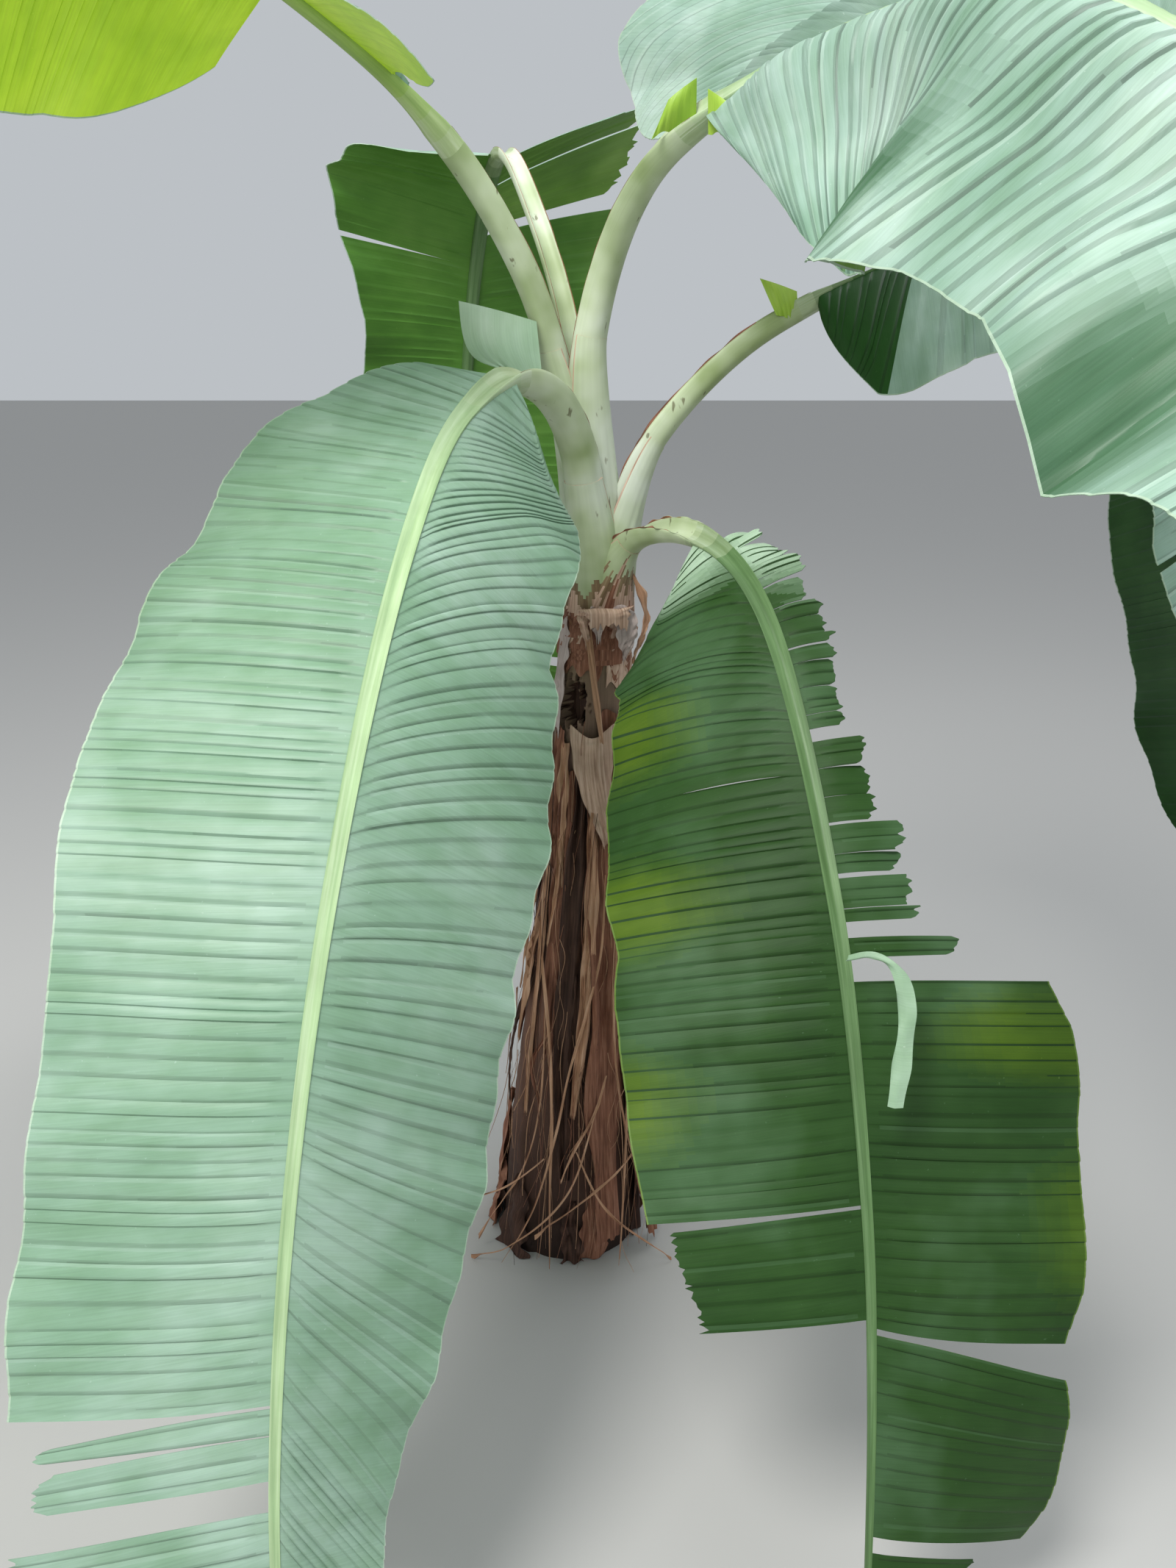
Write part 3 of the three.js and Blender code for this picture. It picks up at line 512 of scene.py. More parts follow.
def along(values, place):
    """Reads a list evenly spread over 0 to 1."""
    values = np.asarray(values, float)
    at = np.clip(place, 0, 1) * (len(values) - 1)
    index = np.minimum(np.asarray(at).astype(int), len(values) - 2)
    return values[index] + (values[index + 1] - values[index]) * (at - index)


def ripples(rng, count, lowest, highest):
    """A smooth random wave of about -1 to 1, with its lengths between 1/highest and 1/lowest."""
    rates = rng.uniform(lowest, highest, count)
    phases = rng.uniform(0, TURN, count)
    return lambda x: sum(np.sin(TURN * r * x + p) for r, p in zip(rates, phases)) / math.sqrt(count)


def unit(vectors):
    return vectors / np.linalg.norm(vectors, axis=-1, keepdims=True)


def outward(angle):
    """Level directions at these bearings."""
    return np.stack([np.cos(angle), np.sin(angle), np.zeros_like(angle)], -1)


def pairs(first, second):
    """The grid of pairs of two lists."""
    return np.stack(np.meshgrid(first, second, indexing="ij"), -1)


def distances(points):
    """How far along a line of points each of them is."""
    return np.concatenate([[0], np.cumsum(np.linalg.norm(np.diff(points, axis=0), axis=1))])


def with_ends(points):
    """The points with one more past each end, for a curve through all of them."""
    return np.vstack([2 * points[0] - points[1], points, 2 * points[-1] - points[-2]])


def curve(points, count):
    """A smooth line through a few points, evenly sampled."""
    ends = with_ends(np.asarray(points, float))
    at = np.linspace(0, len(points) - 1, count)
    index = np.minimum(at.astype(int), len(points) - 2)
    t = (at - index)[:, None]
    a, b, c, d = (ends[index + k] for k in range(4))
    square, cube = 2 * a - 5 * b + 4 * c - d, 3 * b - a - 3 * c + d
    return 0.5 * (2 * b + (c - a) * t + square * t ** 2 + cube * t ** 3)


# Meshes from grids of points

def grid_faces(rows, columns, closed=False):
    index = np.arange(rows * columns).reshape(rows, columns)
    if closed:
        index = np.hstack([index, index[:, :1]])
    faces = np.stack([index[:-1, :-1], index[:-1, 1:], index[1:, 1:], index[1:, :-1]], -1)
    return faces.reshape(-1, 4)


class Shape:
    """Gathers grids of points into one mesh with material numbers and a UV map in metres."""

    def __init__(self):
        self.points, self.faces, self.kinds, self.uvs, self.count = [], [], [], [], 0

    def add(self, points, faces, kinds, uv):
        self.points.append(points.reshape(-1, 3))
        self.faces.append(faces + self.count)
        self.kinds.append(np.broadcast_to(kinds, len(faces)))
        self.uvs.append(uv.reshape(-1, 2))
        self.count += self.points[-1].shape[0]

    def tube(self, rings, kinds, uv=None):
        """Skins a closed row of rings and closes both ends to their middles."""
        sides = rings.shape[1]
        first, last = (np.repeat(ring.mean(1, keepdims=True), sides, 1) for ring in (rings[:1], rings[-1:]))
        rings = np.concatenate([first, rings, last])
        if uv is None:
            uv = pairs(distances(rings.mean(1)), np.linspace(0, 0.05, sides))
        else:
            uv = np.concatenate([uv[:1], uv, uv[-1:]])
        self.add(rings, grid_faces(len(rings), sides, closed=True), kinds, uv)

    def sheet(self, grid, offset, uv, kinds, under=None, flip=False):
        """A thin sheet to both sides of a grid, closed round its rim."""
        rows, columns = grid.shape[:2]
        faces = grid_faces(rows, columns)
        half = rows * columns
        index = np.arange(half).reshape(rows, columns)
        rim = np.concatenate([index[0, :], index[1:, -1], index[-1, -2::-1], index[-2:0:-1, 0]])
        after = np.roll(rim, -1)
        edge = np.stack([after, rim, rim + half, after + half], -1)
        every = np.concatenate([faces, faces[:, ::-1] + half, edge])
        if flip:
            every = every[:, ::-1]
        kinds = np.broadcast_to(kinds, len(faces))
        under = kinds if under is None else np.broadcast_to(under, len(faces))
        kinds = np.concatenate([kinds, under, np.full(len(edge), kinds[-1])])
        points = np.concatenate([(grid + offset).reshape(-1, 3), (grid - offset).reshape(-1, 3)])
        self.add(points, every, kinds, np.concatenate([uv.reshape(-1, 2)] * 2))

    def build(self, name, materials, nodes=(), crease=60):
        points, faces, kinds, uvs = (
            np.concatenate(part) for part in (self.points, self.faces, self.kinds, self.uvs))
        mesh = bpy.data.meshes.new(name)
        mesh.vertices.add(len(points))
        mesh.vertices.foreach_set("co", points.astype(np.float32).ravel())
        mesh.loops.add(faces.size)
        mesh.loops.foreach_set("vertex_index", faces.astype(np.int32).ravel())
        mesh.polygons.add(len(faces))
        mesh.polygons.foreach_set("loop_start", np.arange(0, faces.size, 4, dtype=np.int32))
        mesh.polygons.foreach_set("material_index", kinds.astype(np.int32))
        layer = mesh.uv_layers.new(name="UVMap")
        layer.data.foreach_set("uv", uvs[faces.ravel()].astype(np.float32).ravel())
        mesh.update(calc_edges=True)
        mesh.validate()
        mesh.polygons.foreach_set("use_smooth", np.ones(len(mesh.polygons), bool))
        mesh.set_sharp_from_angle(angle=math.radians(crease))
        for material in materials:
            mesh.materials.append(material)
        piece = bpy.data.objects.new(name, mesh)
        bpy.context.scene.collection.objects.link(piece)
        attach(piece, "root")
        if nodes:
            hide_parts(*nodes)


# Materials

def rgba(colour):
    """A colour, or a number for a grey, as a socket or a ramp takes it."""
    return (*np.broadcast_to(np.asarray(colour, float), 3), 1)


class Surface:
    """A material whose tone and bumps are put together from noise."""

    def __init__(self, name, roughness, specular=0.35):
        self.material = bpy.data.materials.new(name)
        self.material.use_nodes = True
        self.tree = self.material.node_tree
        self.shader = self.tree.nodes["Principled BSDF"]
        self.put(self.shader.inputs["Roughness"], roughness)
        self.put(self.shader.inputs["Specular IOR Level"], specular)

    def put(self, socket, value):
        """Gives a socket a link, a colour or a number."""
        if isinstance(value, bpy.types.NodeSocket):
            self.tree.links.new(value, socket)
        else:
            socket.default_value = rgba(value) if socket.type == "RGBA" else value

    def node(self, kind, inputs=None, **settings):
        node = self.tree.nodes.new(kind)
        for name, value in settings.items():
            setattr(node, name, value)
        for name, value in (inputs or {}).items():
            self.put(node.inputs[name], value)
        return node

    def noise(self, source, scale, stretch=(1, 1, 1), detail=3, rough=0.55):
        """Noise on stretched coordinates; source is UV or Object."""
        place = self.node("ShaderNodeTexCoord").outputs[source]
        place = self.node("ShaderNodeMapping", dict(Vector=place, Scale=stretch)).outputs["Vector"]
        inputs = dict(Vector=place, Scale=scale, Detail=detail, Roughness=rough)
        return self.node("ShaderNodeTexNoise", inputs).outputs["Fac"]

    def ramp(self, value, *stops):
        """A colour ramp through (place, colour) stops."""
        ramp = self.node("ShaderNodeValToRGB", dict(Fac=value))
        elements = ramp.color_ramp.elements
        while len(elements) < len(stops):
            elements.new(0.5)
        for element, (place, colour) in zip(elements, stops):
            element.position = place
            element.color = rgba(colour)
        return ramp.outputs["Color"]

    def mix(self, share, first, second, mode="MIX"):
        inputs = {0: share, 6: first, 7: second}
        return self.node("ShaderNodeMix", inputs, data_type="RGBA", blend_type=mode).outputs[2]

    def shade(self, tone, share, value, *stops):
        """The tone, multiplied for a share by a ramp."""
        return self.mix(share, tone, self.ramp(value, *stops), "MULTIPLY")

    def finish(self, tone, *bumps):
        """Sets the tone and the bumps, each (height, strength, distance), one after the other."""
        self.put(self.shader.inputs["Base Color"], tone)
        normal = self.shader.inputs["Normal"]
        for height, strength, distance in reversed(bumps):
            bump = self.node("ShaderNodeBump", dict(Height=height, Strength=strength, Distance=distance))
            self.put(normal, bump.outputs["Normal"])
            normal = bump.inputs["Normal"]
        return self.material


def blade_material(name, colours, roughness=0.42, specular=0.35):
    """A leaf surface: fine veins across the blade, soft blotches of wax and pale specks."""
    deep, main, light = colours
    surface = Surface(name, roughness, specular)
    veins = surface.noise("UV", 1, (520, 7, 1), 2)
    cloud = surface.noise("UV", 1, (38, 12, 1), 4)
    blotch = surface.noise("Object", 4.5)
    specks = surface.noise("Object", 210, detail=1)
    tone = surface.ramp(blotch, (0.34, lerp(main, deep, 0.55)), (0.5, main), (0.66, lerp(main, light, 0.6)))
    tone = surface.shade(tone, 0.8, veins, (0.32, 0.9), (0.68, 1.05))
    tone = surface.shade(tone, 0.8, cloud, (0.36, (0.86, 0.9, 0.84)), (0.64, (1.06, 1.04, 1.08)))
    tone = surface.mix(surface.ramp(specks, (0.77, 0), (0.8, 0.5)), tone, light)
    return surface.finish(tone, (veins, 0.25, 0.0005), (cloud, 0.25, 0.0016))


def streaked_material(name, colours, roughness, stretch, depth, contrast=0.75):
    """A surface streaked along its length, from dark to light."""
    dark, main, light = colours
    surface = Surface(name, roughness)
    streaks = surface.noise("UV", 1, stretch, 4, 0.6)
    cloud = surface.noise("Object", 15, detail=4)
    tone = surface.ramp(streaks, (0.28, dark), (0.5, main), (0.74, light))
    tone = surface.shade(tone, contrast, cloud, (0.35, (0.74, 0.72, 0.68)), (0.6, (1.05, 1.04, 1.02)))
    return surface.finish(tone, (streaks, 0.5, depth))


def stalk_material():
    """A waxy stalk: pale powder over green, faint length lines and a few dark flecks."""
    dark, main, light = STALK_COLOURS["bare"]
    surface = Surface("stalk", 0.48, 0.4)
    lines = surface.noise("UV", 1, (3, 70, 1), 2)
    bloom = surface.noise("Object", 6)
    flecks = surface.noise("Object", 75, (1, 1, 0.35), 2)
    tone = surface.ramp(bloom, (0.36, dark), (0.5, main), (0.64, light))
    tone = surface.shade(tone, 0.6, lines, (0.3, 0.88), (0.7, 1.06))
    tone = surface.shade(tone, 0.8, flecks, (0.27, (0.26, 0.21, 0.15)), (0.315, 1))
    return surface.finish(tone, (lines, 0.18, 0.0006))


def stem_material():
    """Dried sheaths: near black at the foot, where painted shade lies over their brown, tan and olive under
    the crown, with scars.
    """
    surface = Surface("stem_sheaths", 0.75, 0.3)
    place = surface.node("ShaderNodeTexCoord").outputs["Object"]
    height = surface.node("ShaderNodeSeparateXYZ", dict(Vector=place)).outputs["Z"]
    inputs = {"Value": height, "From Max": STEM_HEIGHT * MM}
    level = surface.node("ShaderNodeMapRange", inputs).outputs["Result"]
    fibres = surface.noise("UV", 1, (7, 380, 1), 4)
    cloud = surface.noise("Object", 9, (1, 1, 0.5), 5)
    scars = surface.noise("Object", 42, (1, 1, 0.45), 3)
    tone = surface.ramp(level, *STEM_ZONES)
    mottle = ((0.34, (0.62, 0.58, 0.52)), (0.52, 1), (0.7, (1.28, 1.22, 1.16)))
    tone = surface.shade(tone, 0.9, cloud, *mottle)
    tone = surface.shade(tone, 0.6, fibres, (0.35, 0.78), (0.65, 1.08))
    tone = surface.shade(tone, 0.8, scars, (0.28, (0.2, 0.15, 0.11)), (0.35, 1))
    return surface.finish(tone, (fibres, 0.45, 0.0012), (cloud, 0.6, 0.004), (scars, 0.3, 0.002))


# Numbers of a blade's materials; the steps of the tints follow the last of them
# Crests: painted highlight. Dusk, grooves, shade: painted shade. Bright underside: painted light through the
# leaf.
UPPER, UNDER, MARGIN, PAINTED_CREST_HIGHLIGHT, PAINTED_DUSK_SHADE, PAINTED_SOFT_GROOVE_SHADE, PAINTED_GROOVE_SHADE, SHADE, SHADE_GROOVE, BACKLIT_UNDERSIDE, TINT = range(11)


def blade_kinds(leaf):
    """The materials of one blade, in the order of the numbers above."""
    upper, shade = PALETTE[leaf["upper"]], PALETTE["shade"]
    family = "deep" if leaf["upper"] == "deep" else "mint"
    gloss = (0.5, 0.16) if family == "deep" else (0.45, 0.3)
    # The lighter copy for crests is a painted highlight, the darker copies and the shade tones are painted
    # shade, the bright tone is painted light through the leaf
    colours = [
        upper, PALETTE[leaf["lower"]], MARGIN_COLOURS[family], lerp(upper, upper[2], CREST_HIGHLIGHT_SHARE),
        *(upper * share ** leaf["contrast"] for share in (DUSK_SHADE_SHARE, SOFT_GROOVE_SHADE_SHARE, GROOVE_SHADE_SHARE)),
        shade, shade * GROOVE_SHADE_SHARE, PALETTE["bright"],
    ]
    if leaf["tints"]:
        for name in TINT_NAMES:
            colours += [lerp(upper, PALETTE[name], (k + 1) / TINT_STEPS) for k in range(TINT_STEPS)]
    name = leaf["name"]
    return [blade_material(f"{name}_{number}", tones, *gloss) for number, tones in enumerate(colours)]


BLADES = {name: blade_material(f"blade_{name}", PALETTE[name]) for name in ("bloom", "leaf_light", "deep")}


def rib_steps(name):
    """The materials of a limb's rings from the bare stalk to the rib."""
    bare, count = STALK_COLOURS["bare"], len(COLOUR_RINGS)
    steps = [lerp(bare, RIB_COLOURS[name], (k + 1) / count) for k in range(count)]
    return [
        streaked_material(f"rib_{name}_{k + 1}", tones, 0.45, (4, 70, 1), 0.0005, 0.3)
        for k, tones in enumerate(steps)
    ]


RIBS = {name: rib_steps(name) for name in RIB_COLOURS}
STALK = stalk_material()
STALK_FOOT = streaked_material("stalk_foot", STALK_COLOURS["foot"], 0.6, (5, 90, 1), 0.0008)
STEM = stem_material()
DRY = [
    streaked_material(f"dry_{name}", colours, 0.8, (12, 240, 1), 0.0014)
    for name, colours in DRY_COLOURS.items()
]


# The stem

def stem_centre(z):
    return np.stack([STEM_LEAN * z / STEM_HEIGHT, np.zeros_like(z), z], -1)


def stem_radius(z):
    return np.interp(z, *zip(*STEM_PROFILE))


def stem_surface(z, angle, lift):
    """Points on the stem, in millimetres; each sheath rises slowly and drops at its edge."""
    z, angle = np.broadcast_arrays(z, angle)
    phase = ((SHEATH_RIDGES * angle + z / SHEATH_WINDING) / TURN) % 1
    saw = np.interp(phase, (0, SHEATH_EDGE, 1), (-1, 1, -1))
    reach = stem_radius(z) * (1 + SHEATH_RIDGE * saw) + lift
    return stem_centre(z) + outward(angle) * reach[..., None]


def cavity_mask(z, angle):
    """1 inside the rotten hollow, with a ragged rim."""
    bearing = (np.degrees(angle) - CAVITY["bearing"] + 180) % 360 - 180
    ragged = 0.16 * np.sin(bearing * 0.5) + 0.14 * np.sin(z * 0.13 + bearing * 0.3) + 0.08 * np.sin(z * 0.43)
    far = np.hypot((z - CAVITY["z"]) / CAVITY["height"], bearing / CAVITY["spread"]) + ragged
    return 1 - smooth(0.84, 1.0, far)


def make_stem():
    rng = np.random.default_rng(21)
    rows, sides = BARK_GRID
    z = np.concatenate([np.linspace(0, STEM_HEIGHT, rows), [SHOULDER[2], CORE_TOP[2]]])
    angle = np.linspace(0, TURN, sides, endpoint=False)
    height, turn = np.meshgrid(z, angle, indexing="ij")
    groove = ripples(rng, 7, 4, 22)(turn / TURN + 0.02 * np.sin(height / 90))
    dents = ripples(rng, 5, 0.003, 0.012)(height + 40 * np.sin(turn))
    dents = dents * ripples(rng, 4, 0.6, 2.4)(turn / TURN)
    rings = ripples(rng, 5, 0.01, 0.045)(height + 14 * np.sin(2 * turn))
    mask = cavity_mask(height, turn)
    lift = BARK_GROOVE * groove + BARK_DENT * dents + BARK_RING * rings - CAVITY["depth"] * mask
    points = stem_surface(np.minimum(height, STEM_HEIGHT), turn, lift)
    points[rows] = SHOULDER + SHOULDER_RADIUS * outward(angle)
    points[rows + 1] = CORE_TOP + CORE_RADIUS * outward(angle)
    kinds = np.zeros((rows + 3, sides), int)
    kinds[1:-1][(mask[:-1] + mask[1:]) / 2 > 0.3] = 1
    shape = Shape()
    shape.tube(points * MM, kinds.ravel(), pairs(z * MM, angle * stem_radius(600) * MM))
    shape.build("false_stem_bark", [STEM, DRY[DARK]], ["false_stem"])


# Leaves

class Rib:
    """A leaf's rib: a smooth curve through its points, with a steady sideways direction."""

    SAMPLES = 60

    def __init__(self, leaf):
        points = np.array(leaf["rib"]) * MM
        ends = with_ends(points)
        places, slopes = [], []
        for i in range(len(points) - 1):
            x0, x1, x2, x3 = ends[i:i + 4]
            d0, d1, d2 = (math.sqrt(np.linalg.norm(b - a)) for a, b in ((x0, x1), (x1, x2), (x2, x3)))
            t1 = ((x1 - x0) / d0 - (x2 - x0) / (d0 + d1) + (x2 - x1) / d1) * d1
            t2 = ((x2 - x1) / d1 - (x3 - x1) / (d1 + d2) + (x3 - x2) / d2) * d1
            square = -3 * x1 + 3 * x2 - 2 * t1 - t2
            cube = 2 * x1 - 2 * x2 + t1 + t2
            last = 1 if i == len(points) - 2 else 0
            t = np.linspace(0, 1, self.SAMPLES + 1)[:self.SAMPLES + last, None]
            places.append(x1 + t1 * t + square * t ** 2 + cube * t ** 3)
            slopes.append(t1 + 2 * square * t + 3 * cube * t ** 2)
        self.places = np.vstack(places)
        self.slopes = unit(np.vstack(slopes))
        self.run = distances(self.places)
        self.length = self.run[-1]
        self.blade = self.length * (1 - leaf["stalk_share"])
        heading = math.radians(leaf["heading"])
        self.right = np.array([math.sin(heading), -math.cos(heading), 0.0])

    def frame(self, share, roll):
        """Point, direction, sideways and upward vectors at shares of the length."""
        roll = np.broadcast_to(roll, share.shape)[..., None]
        at = share * self.length
        point, ahead = (
            np.stack([np.interp(at, self.run, line[:, k]) for k in range(3)], -1)
            for line in (self.places, self.slopes))
        ahead = unit(ahead)
        side = unit(self.right - ahead * (ahead @ self.right)[..., None])
        up = np.cross(side, ahead)
        across = side * np.cos(roll) + up * np.sin(roll)
        above = up * np.cos(roll) - side * np.sin(roll)
        return point, ahead, across, above


def rib_width(leaf, place):
    """The full width of the stalk or the rib, in metres, at shares of the leaf's length."""
    stalk = leaf["stalk_share"]
    first, last = leaf["stalk_width"]
    bare = lerp(first, last, np.sqrt(np.clip(place / stalk, 0, 1)))
    s = np.clip((place - stalk) / (1 - stalk), 0, 1)
    slim = lerp(RIB_WIDTH, RIB_TIP_WIDTH, s ** 0.8) + (last - RIB_WIDTH) * np.exp(-s / 0.03)
    return np.where(place < stalk, bare, slim) * MM


def half_width(leaf, side, s):
    """How far half a blade reaches from its rib's middle, in metres."""
    start, base, taper, margin = (leaf[name][side] for name in ("start", "base", "taper_from", "margin"))
    place = (s - start) / (1 - start)
    x = np.clip(place / base, 0, 1)
    foot = lerp(FOOT_SHARE, 1, FOOT_ROUND * np.sqrt(1 - (1 - x) ** 2) + (1 - FOOT_ROUND) * x)
    tip = 1 - (np.clip(place - taper, 0, None) / (1 - taper)) ** leaf["taper_power"]
    share = np.where(place > taper, tip, np.where(place < base, foot, 1.0))
    share = share * along([*margin, *[1] * (MARGIN_VALUES - len(margin))], s)
    return leaf["width"][side] * MM * np.maximum(np.where(place < 0, 0, share), 0)


def blade_surface(leaf, rib, side, s, share):
    """Point and upward normal of one half of a blade, at stations and shares of the half width."""
    sign = 1 if side == RIGHT else -1
    place = lerp(leaf["stalk_share"], 1, s)
    point, ahead, across, above = rib.frame(place, np.radians(along(leaf["roll"], s)))
    fold, curl = (np.radians(along(leaf[name][side], s)) for name in ("fold", "curl"))
    whole = half_width(leaf, side, s)
    hug = RIB_HUG * rib_width(leaf, place)
    width = np.maximum(whole - hug, 0.003)
    turned = fold + curl * share
    out = hug + (np.sin(turned) - np.sin(fold)) / curl * width
    height, count = leaf["wave"]
    wave = height * MM * share * share * np.sin(TURN * count * s)
    rise = (np.cos(fold) - np.cos(turned)) / curl * width + wave
    forward = along(leaf["slant"][side], s) * whole * share
    point = point + across * (sign * out)[..., None] + above * rise[..., None] + ahead * forward[..., None]
    normal = above * np.cos(turned)[..., None] - across * (sign * np.sin(turned))[..., None]
    return point, normal


def fine_strips(leaf, rib, side, rng):
    """The strips of a half and how loose each is; where it is frayed, a coarse strip becomes several."""
    low, high = leaf["fringe"][side]
    strips = []
    for start, end, reach in leaf["strips"][side]:
        if not low <= start < end <= high or end - start < COARSE_SHARE:
            narrow = (end - start) * rib.blade < NARROW_STRIP
            strips.append((start, end, reach, NARROW if narrow else None))
            continue
        while start < end - FRAY_END:
            step = min(rng.uniform(*FRAY_STEP), end - start)
            strips.append((start, start + step, reach * rng.uniform(*FRAY_REACH), FRAYED))
            start += step + rng.uniform(0, FRAY_GAP)
    return strips


def pleat_rows(length, pitch, rng):
    """The pleats' edges, the stations of their points and how high each point stands."""
    edges = [0.0]
    while edges[-1] < length:
        edges.append(edges[-1] + pitch * MM * (1 + PLEAT_SPREAD * rng.uniform(-1, 1)))
    depth = rng.uniform(0.4, 1.25, len(edges))
    edges = np.array(edges)
    shares, rises = np.array(PLEAT_STEPS).T
    places = lerp(edges[:-1, None], edges[1:, None], shares) / length
    return edges / length, places.ravel(), (rises * depth[:-1, None]).ravel()


def opening(leaf, side, at, share):
    """Half the gap of a tear or slit at a boundary between strips, as a share of the length."""
    if (side, at) in leaf["slits"]:
        low, high = leaf["slits"][side, at]
        return SLIT_SHARE * np.sin(math.pi * np.clip((share - low) / (high - low), 0, 1))
    return leaf["tears"].get((side, at), TEAR_SHARE) * smooth(*TEAR_SPAN, share)


def crease_lift(leaf, side, s, share):
    """Single deep folds of a half, that grow towards the margin."""
    lift = 0 * s
    for where, at, breadth, height in leaf["creases"]:
        if where == side:
            ridge = np.clip(1 - np.abs(s - at) / breadth, 0, 1)
            lift = lift + height * MM * ridge ** 1.3 * smooth(0.05, 0.9, share)
    return lift


def tint_levels(leaf, side, name, middle, across, strength):
    """How many of its steps a tint takes on each face, 0 where it isn't."""
    tinted = np.full(across.shape, -1.0)
    for tint, where, low, high, edge in leaf["tints"]:
        if (tint, where) == (name, side):
            inward = smooth(low, lerp(low, high, 0.4), middle)
            inward = inward * (1 - smooth(lerp(low, high, 0.6), high, middle))
            reach = edge + 0.35 * (1 - inward)
            tinted = np.maximum(tinted, inward * smooth(reach - 0.12, reach + 0.42, across))
    tinted = tinted + 0.05 * strength
    return np.clip(np.ceil(tinted * TINT_STEPS - 0.5), 0, TINT_STEPS).astype(int)


def surface_kinds(leaf, side, s, share, edges, rng, rim):
    """Which of the blade's materials each face gets, by its pleat and place."""
    middle = (s[:-1, None] + s[1:, None]) / 2
    across = (share[:-1, :-1] + share[1:, 1:]) / 2
    pleat = np.clip(np.searchsorted(edges, middle) - 1, 0, len(edges) - 2)
    phase = (middle - edges[pleat]) / (edges[pleat + 1] - edges[pleat])
    strength = rng.uniform(-1, 1, len(edges))[pleat]
    patchy = strength + 0.4 * ripples(rng, 3, 0.3, 1.1)(across + 0.61 * pleat)
    kinds = np.full(across.shape, UPPER)
    # Painted highlight on the crests, painted shade on the slope before each groove
    kinds[(phase < PLEAT_HIGHLIGHT_UNTIL) & (across > 0.03) & (strength > 0.25)] = PAINTED_CREST_HIGHLIGHT
    kinds[(phase > PLEAT_DUSK_SHADE_FROM) & (across > 0.03) & (strength > -0.4)] = PAINTED_DUSK_SHADE
    levels = {name: tint_levels(leaf, side, name, middle, across, strength) for name in TINT_NAMES}
    for number, level in enumerate(levels.values()):
        kinds[(level.max(1) > 0)[:, None] & (kinds == PAINTED_CREST_HIGHLIGHT)] = UPPER
        kinds = np.where(level > 0, TINT - 1 + number * TINT_STEPS + level, kinds)
    # Painted shade in the grooves, darker where a pleat is vivid
    groove = (phase > PLEAT_GROOVE_SHADE_FROM) & (across > 0.02) & (levels["dim"] < 2)
    kinds[groove & (patchy > -0.75)] = PAINTED_SOFT_GROOVE_SHADE
    kinds[groove & (patchy > leaf["calm"])] = PAINTED_GROOVE_SHADE
    # Painted shade on the upper side up to a station
    dark = (middle < leaf["shaded_until"][side]) & (across > 0)
    kinds[dark] = SHADE
    kinds[dark & groove] = SHADE_GROOVE
    # Painted shade beside the rib
    beside = leaf["rib_shade"][side]
    kinds[(across < beside) & (kinds != PAINTED_GROOVE_SHADE)] = PAINTED_DUSK_SHADE
    kinds[across < 0.55 * beside] = PAINTED_SOFT_GROOVE_SHADE
    if rim:
        kinds[:, -1] = MARGIN
    return kinds


def strip_tip(t, reach, loose, ragged, rng):
    """How far out a strip goes, from its one side to its other."""
    if loose:
        amount, power = loose["rounding"]
        rounding = amount * np.abs(2 * t - 1) ** power
        return reach * (1 + rng.uniform(*loose["slope"]) * (t - 0.5) + loose["rough"] * ragged - rounding)
    if reach != 1:
        return reach * (1.05 - 0.16 * t ** 2 + 0.025 * ragged)
    return np.ones_like(t)


def add_strip(shape, leaf, rib, side, strip, pleats, waves, rng):
    """One strip of a half: where its points lie, how they are lifted, and its materials."""
    start, end, reach, loose = strip
    edges, places, heights = pleats
    billow, frill, ragged = waves
    rows, columns = FRAYED_GRID if loose is FRAYED else BLADE_GRID
    inside = places[(places > start + ROW_GAP) & (places < end - ROW_GAP)]
    s = np.unique(np.concatenate([np.linspace(start, end, rows), inside]))
    t = (s - start) / (end - start)
    share = np.linspace(0, 1, columns) ** COLUMN_POWER
    share[0] = UNDER_RIB
    share[-2] = 1 - (RIM_SHARE if reach == 1 else TORN_RIM_SHARE)
    share = share * strip_tip(t, reach, loose, ragged(s), rng)[:, None]
    outer = np.maximum(share, 0)
    low = start + opening(leaf, side, start, share) * (start > FIRST_GAP)
    high = end - opening(leaf, side, end, share) * (end < LAST_GAP)
    station = lerp(low, high, t[:, None])
    station = station + along(leaf["veins"][side], station) * outer ** VEIN_BEND
    if loose:
        station = station + rng.uniform(*loose["sag"]) * outer ** 2
    station = np.clip(station, 0, 1)
    point, normal = blade_surface(leaf, rib, side, station, share)
    fade = smooth(0.0, 0.1, share) * (1 - 0.35 * share)
    lift = leaf["pleat"] * MM * np.interp(s, places, heights)[:, None] * fade
    lift = lift + leaf["ripple"] * MM * outer ** 3 * frill(station)
    lift = lift + BILLOW * MM * outer * billow(station)
    lift = lift + crease_lift(leaf, side, station, share)
    swell = smooth(0, 0.07, share) * (1 - smooth(0.09, 0.5, share)) * smooth(0, 0.1, station)
    lift = lift + leaf["swell"][side] * MM * swell
    if loose:
        lift = lift + rng.uniform(*loose["bend"]) * (outer * leaf["width"][side] * MM) ** 2
    kinds = surface_kinds(leaf, side, s, share, edges, rng, reach == 1)
    # Strips by the foot can take painted light shining through the leaf on their lower side
    below = BACKLIT_UNDERSIDE if end <= leaf["bright_until"][side] else UNDER
    under = np.where(kinds == MARGIN, MARGIN, below)
    uv = np.stack([station * rib.blade, (share + (2 if side == LEFT else 0)) * 0.3], -1)
    shape.sheet(point + normal * lift[..., None], normal * (BLADE_THICKNESS * MM / 2), uv,
                kinds.ravel(), under.ravel(), flip=side == LEFT)


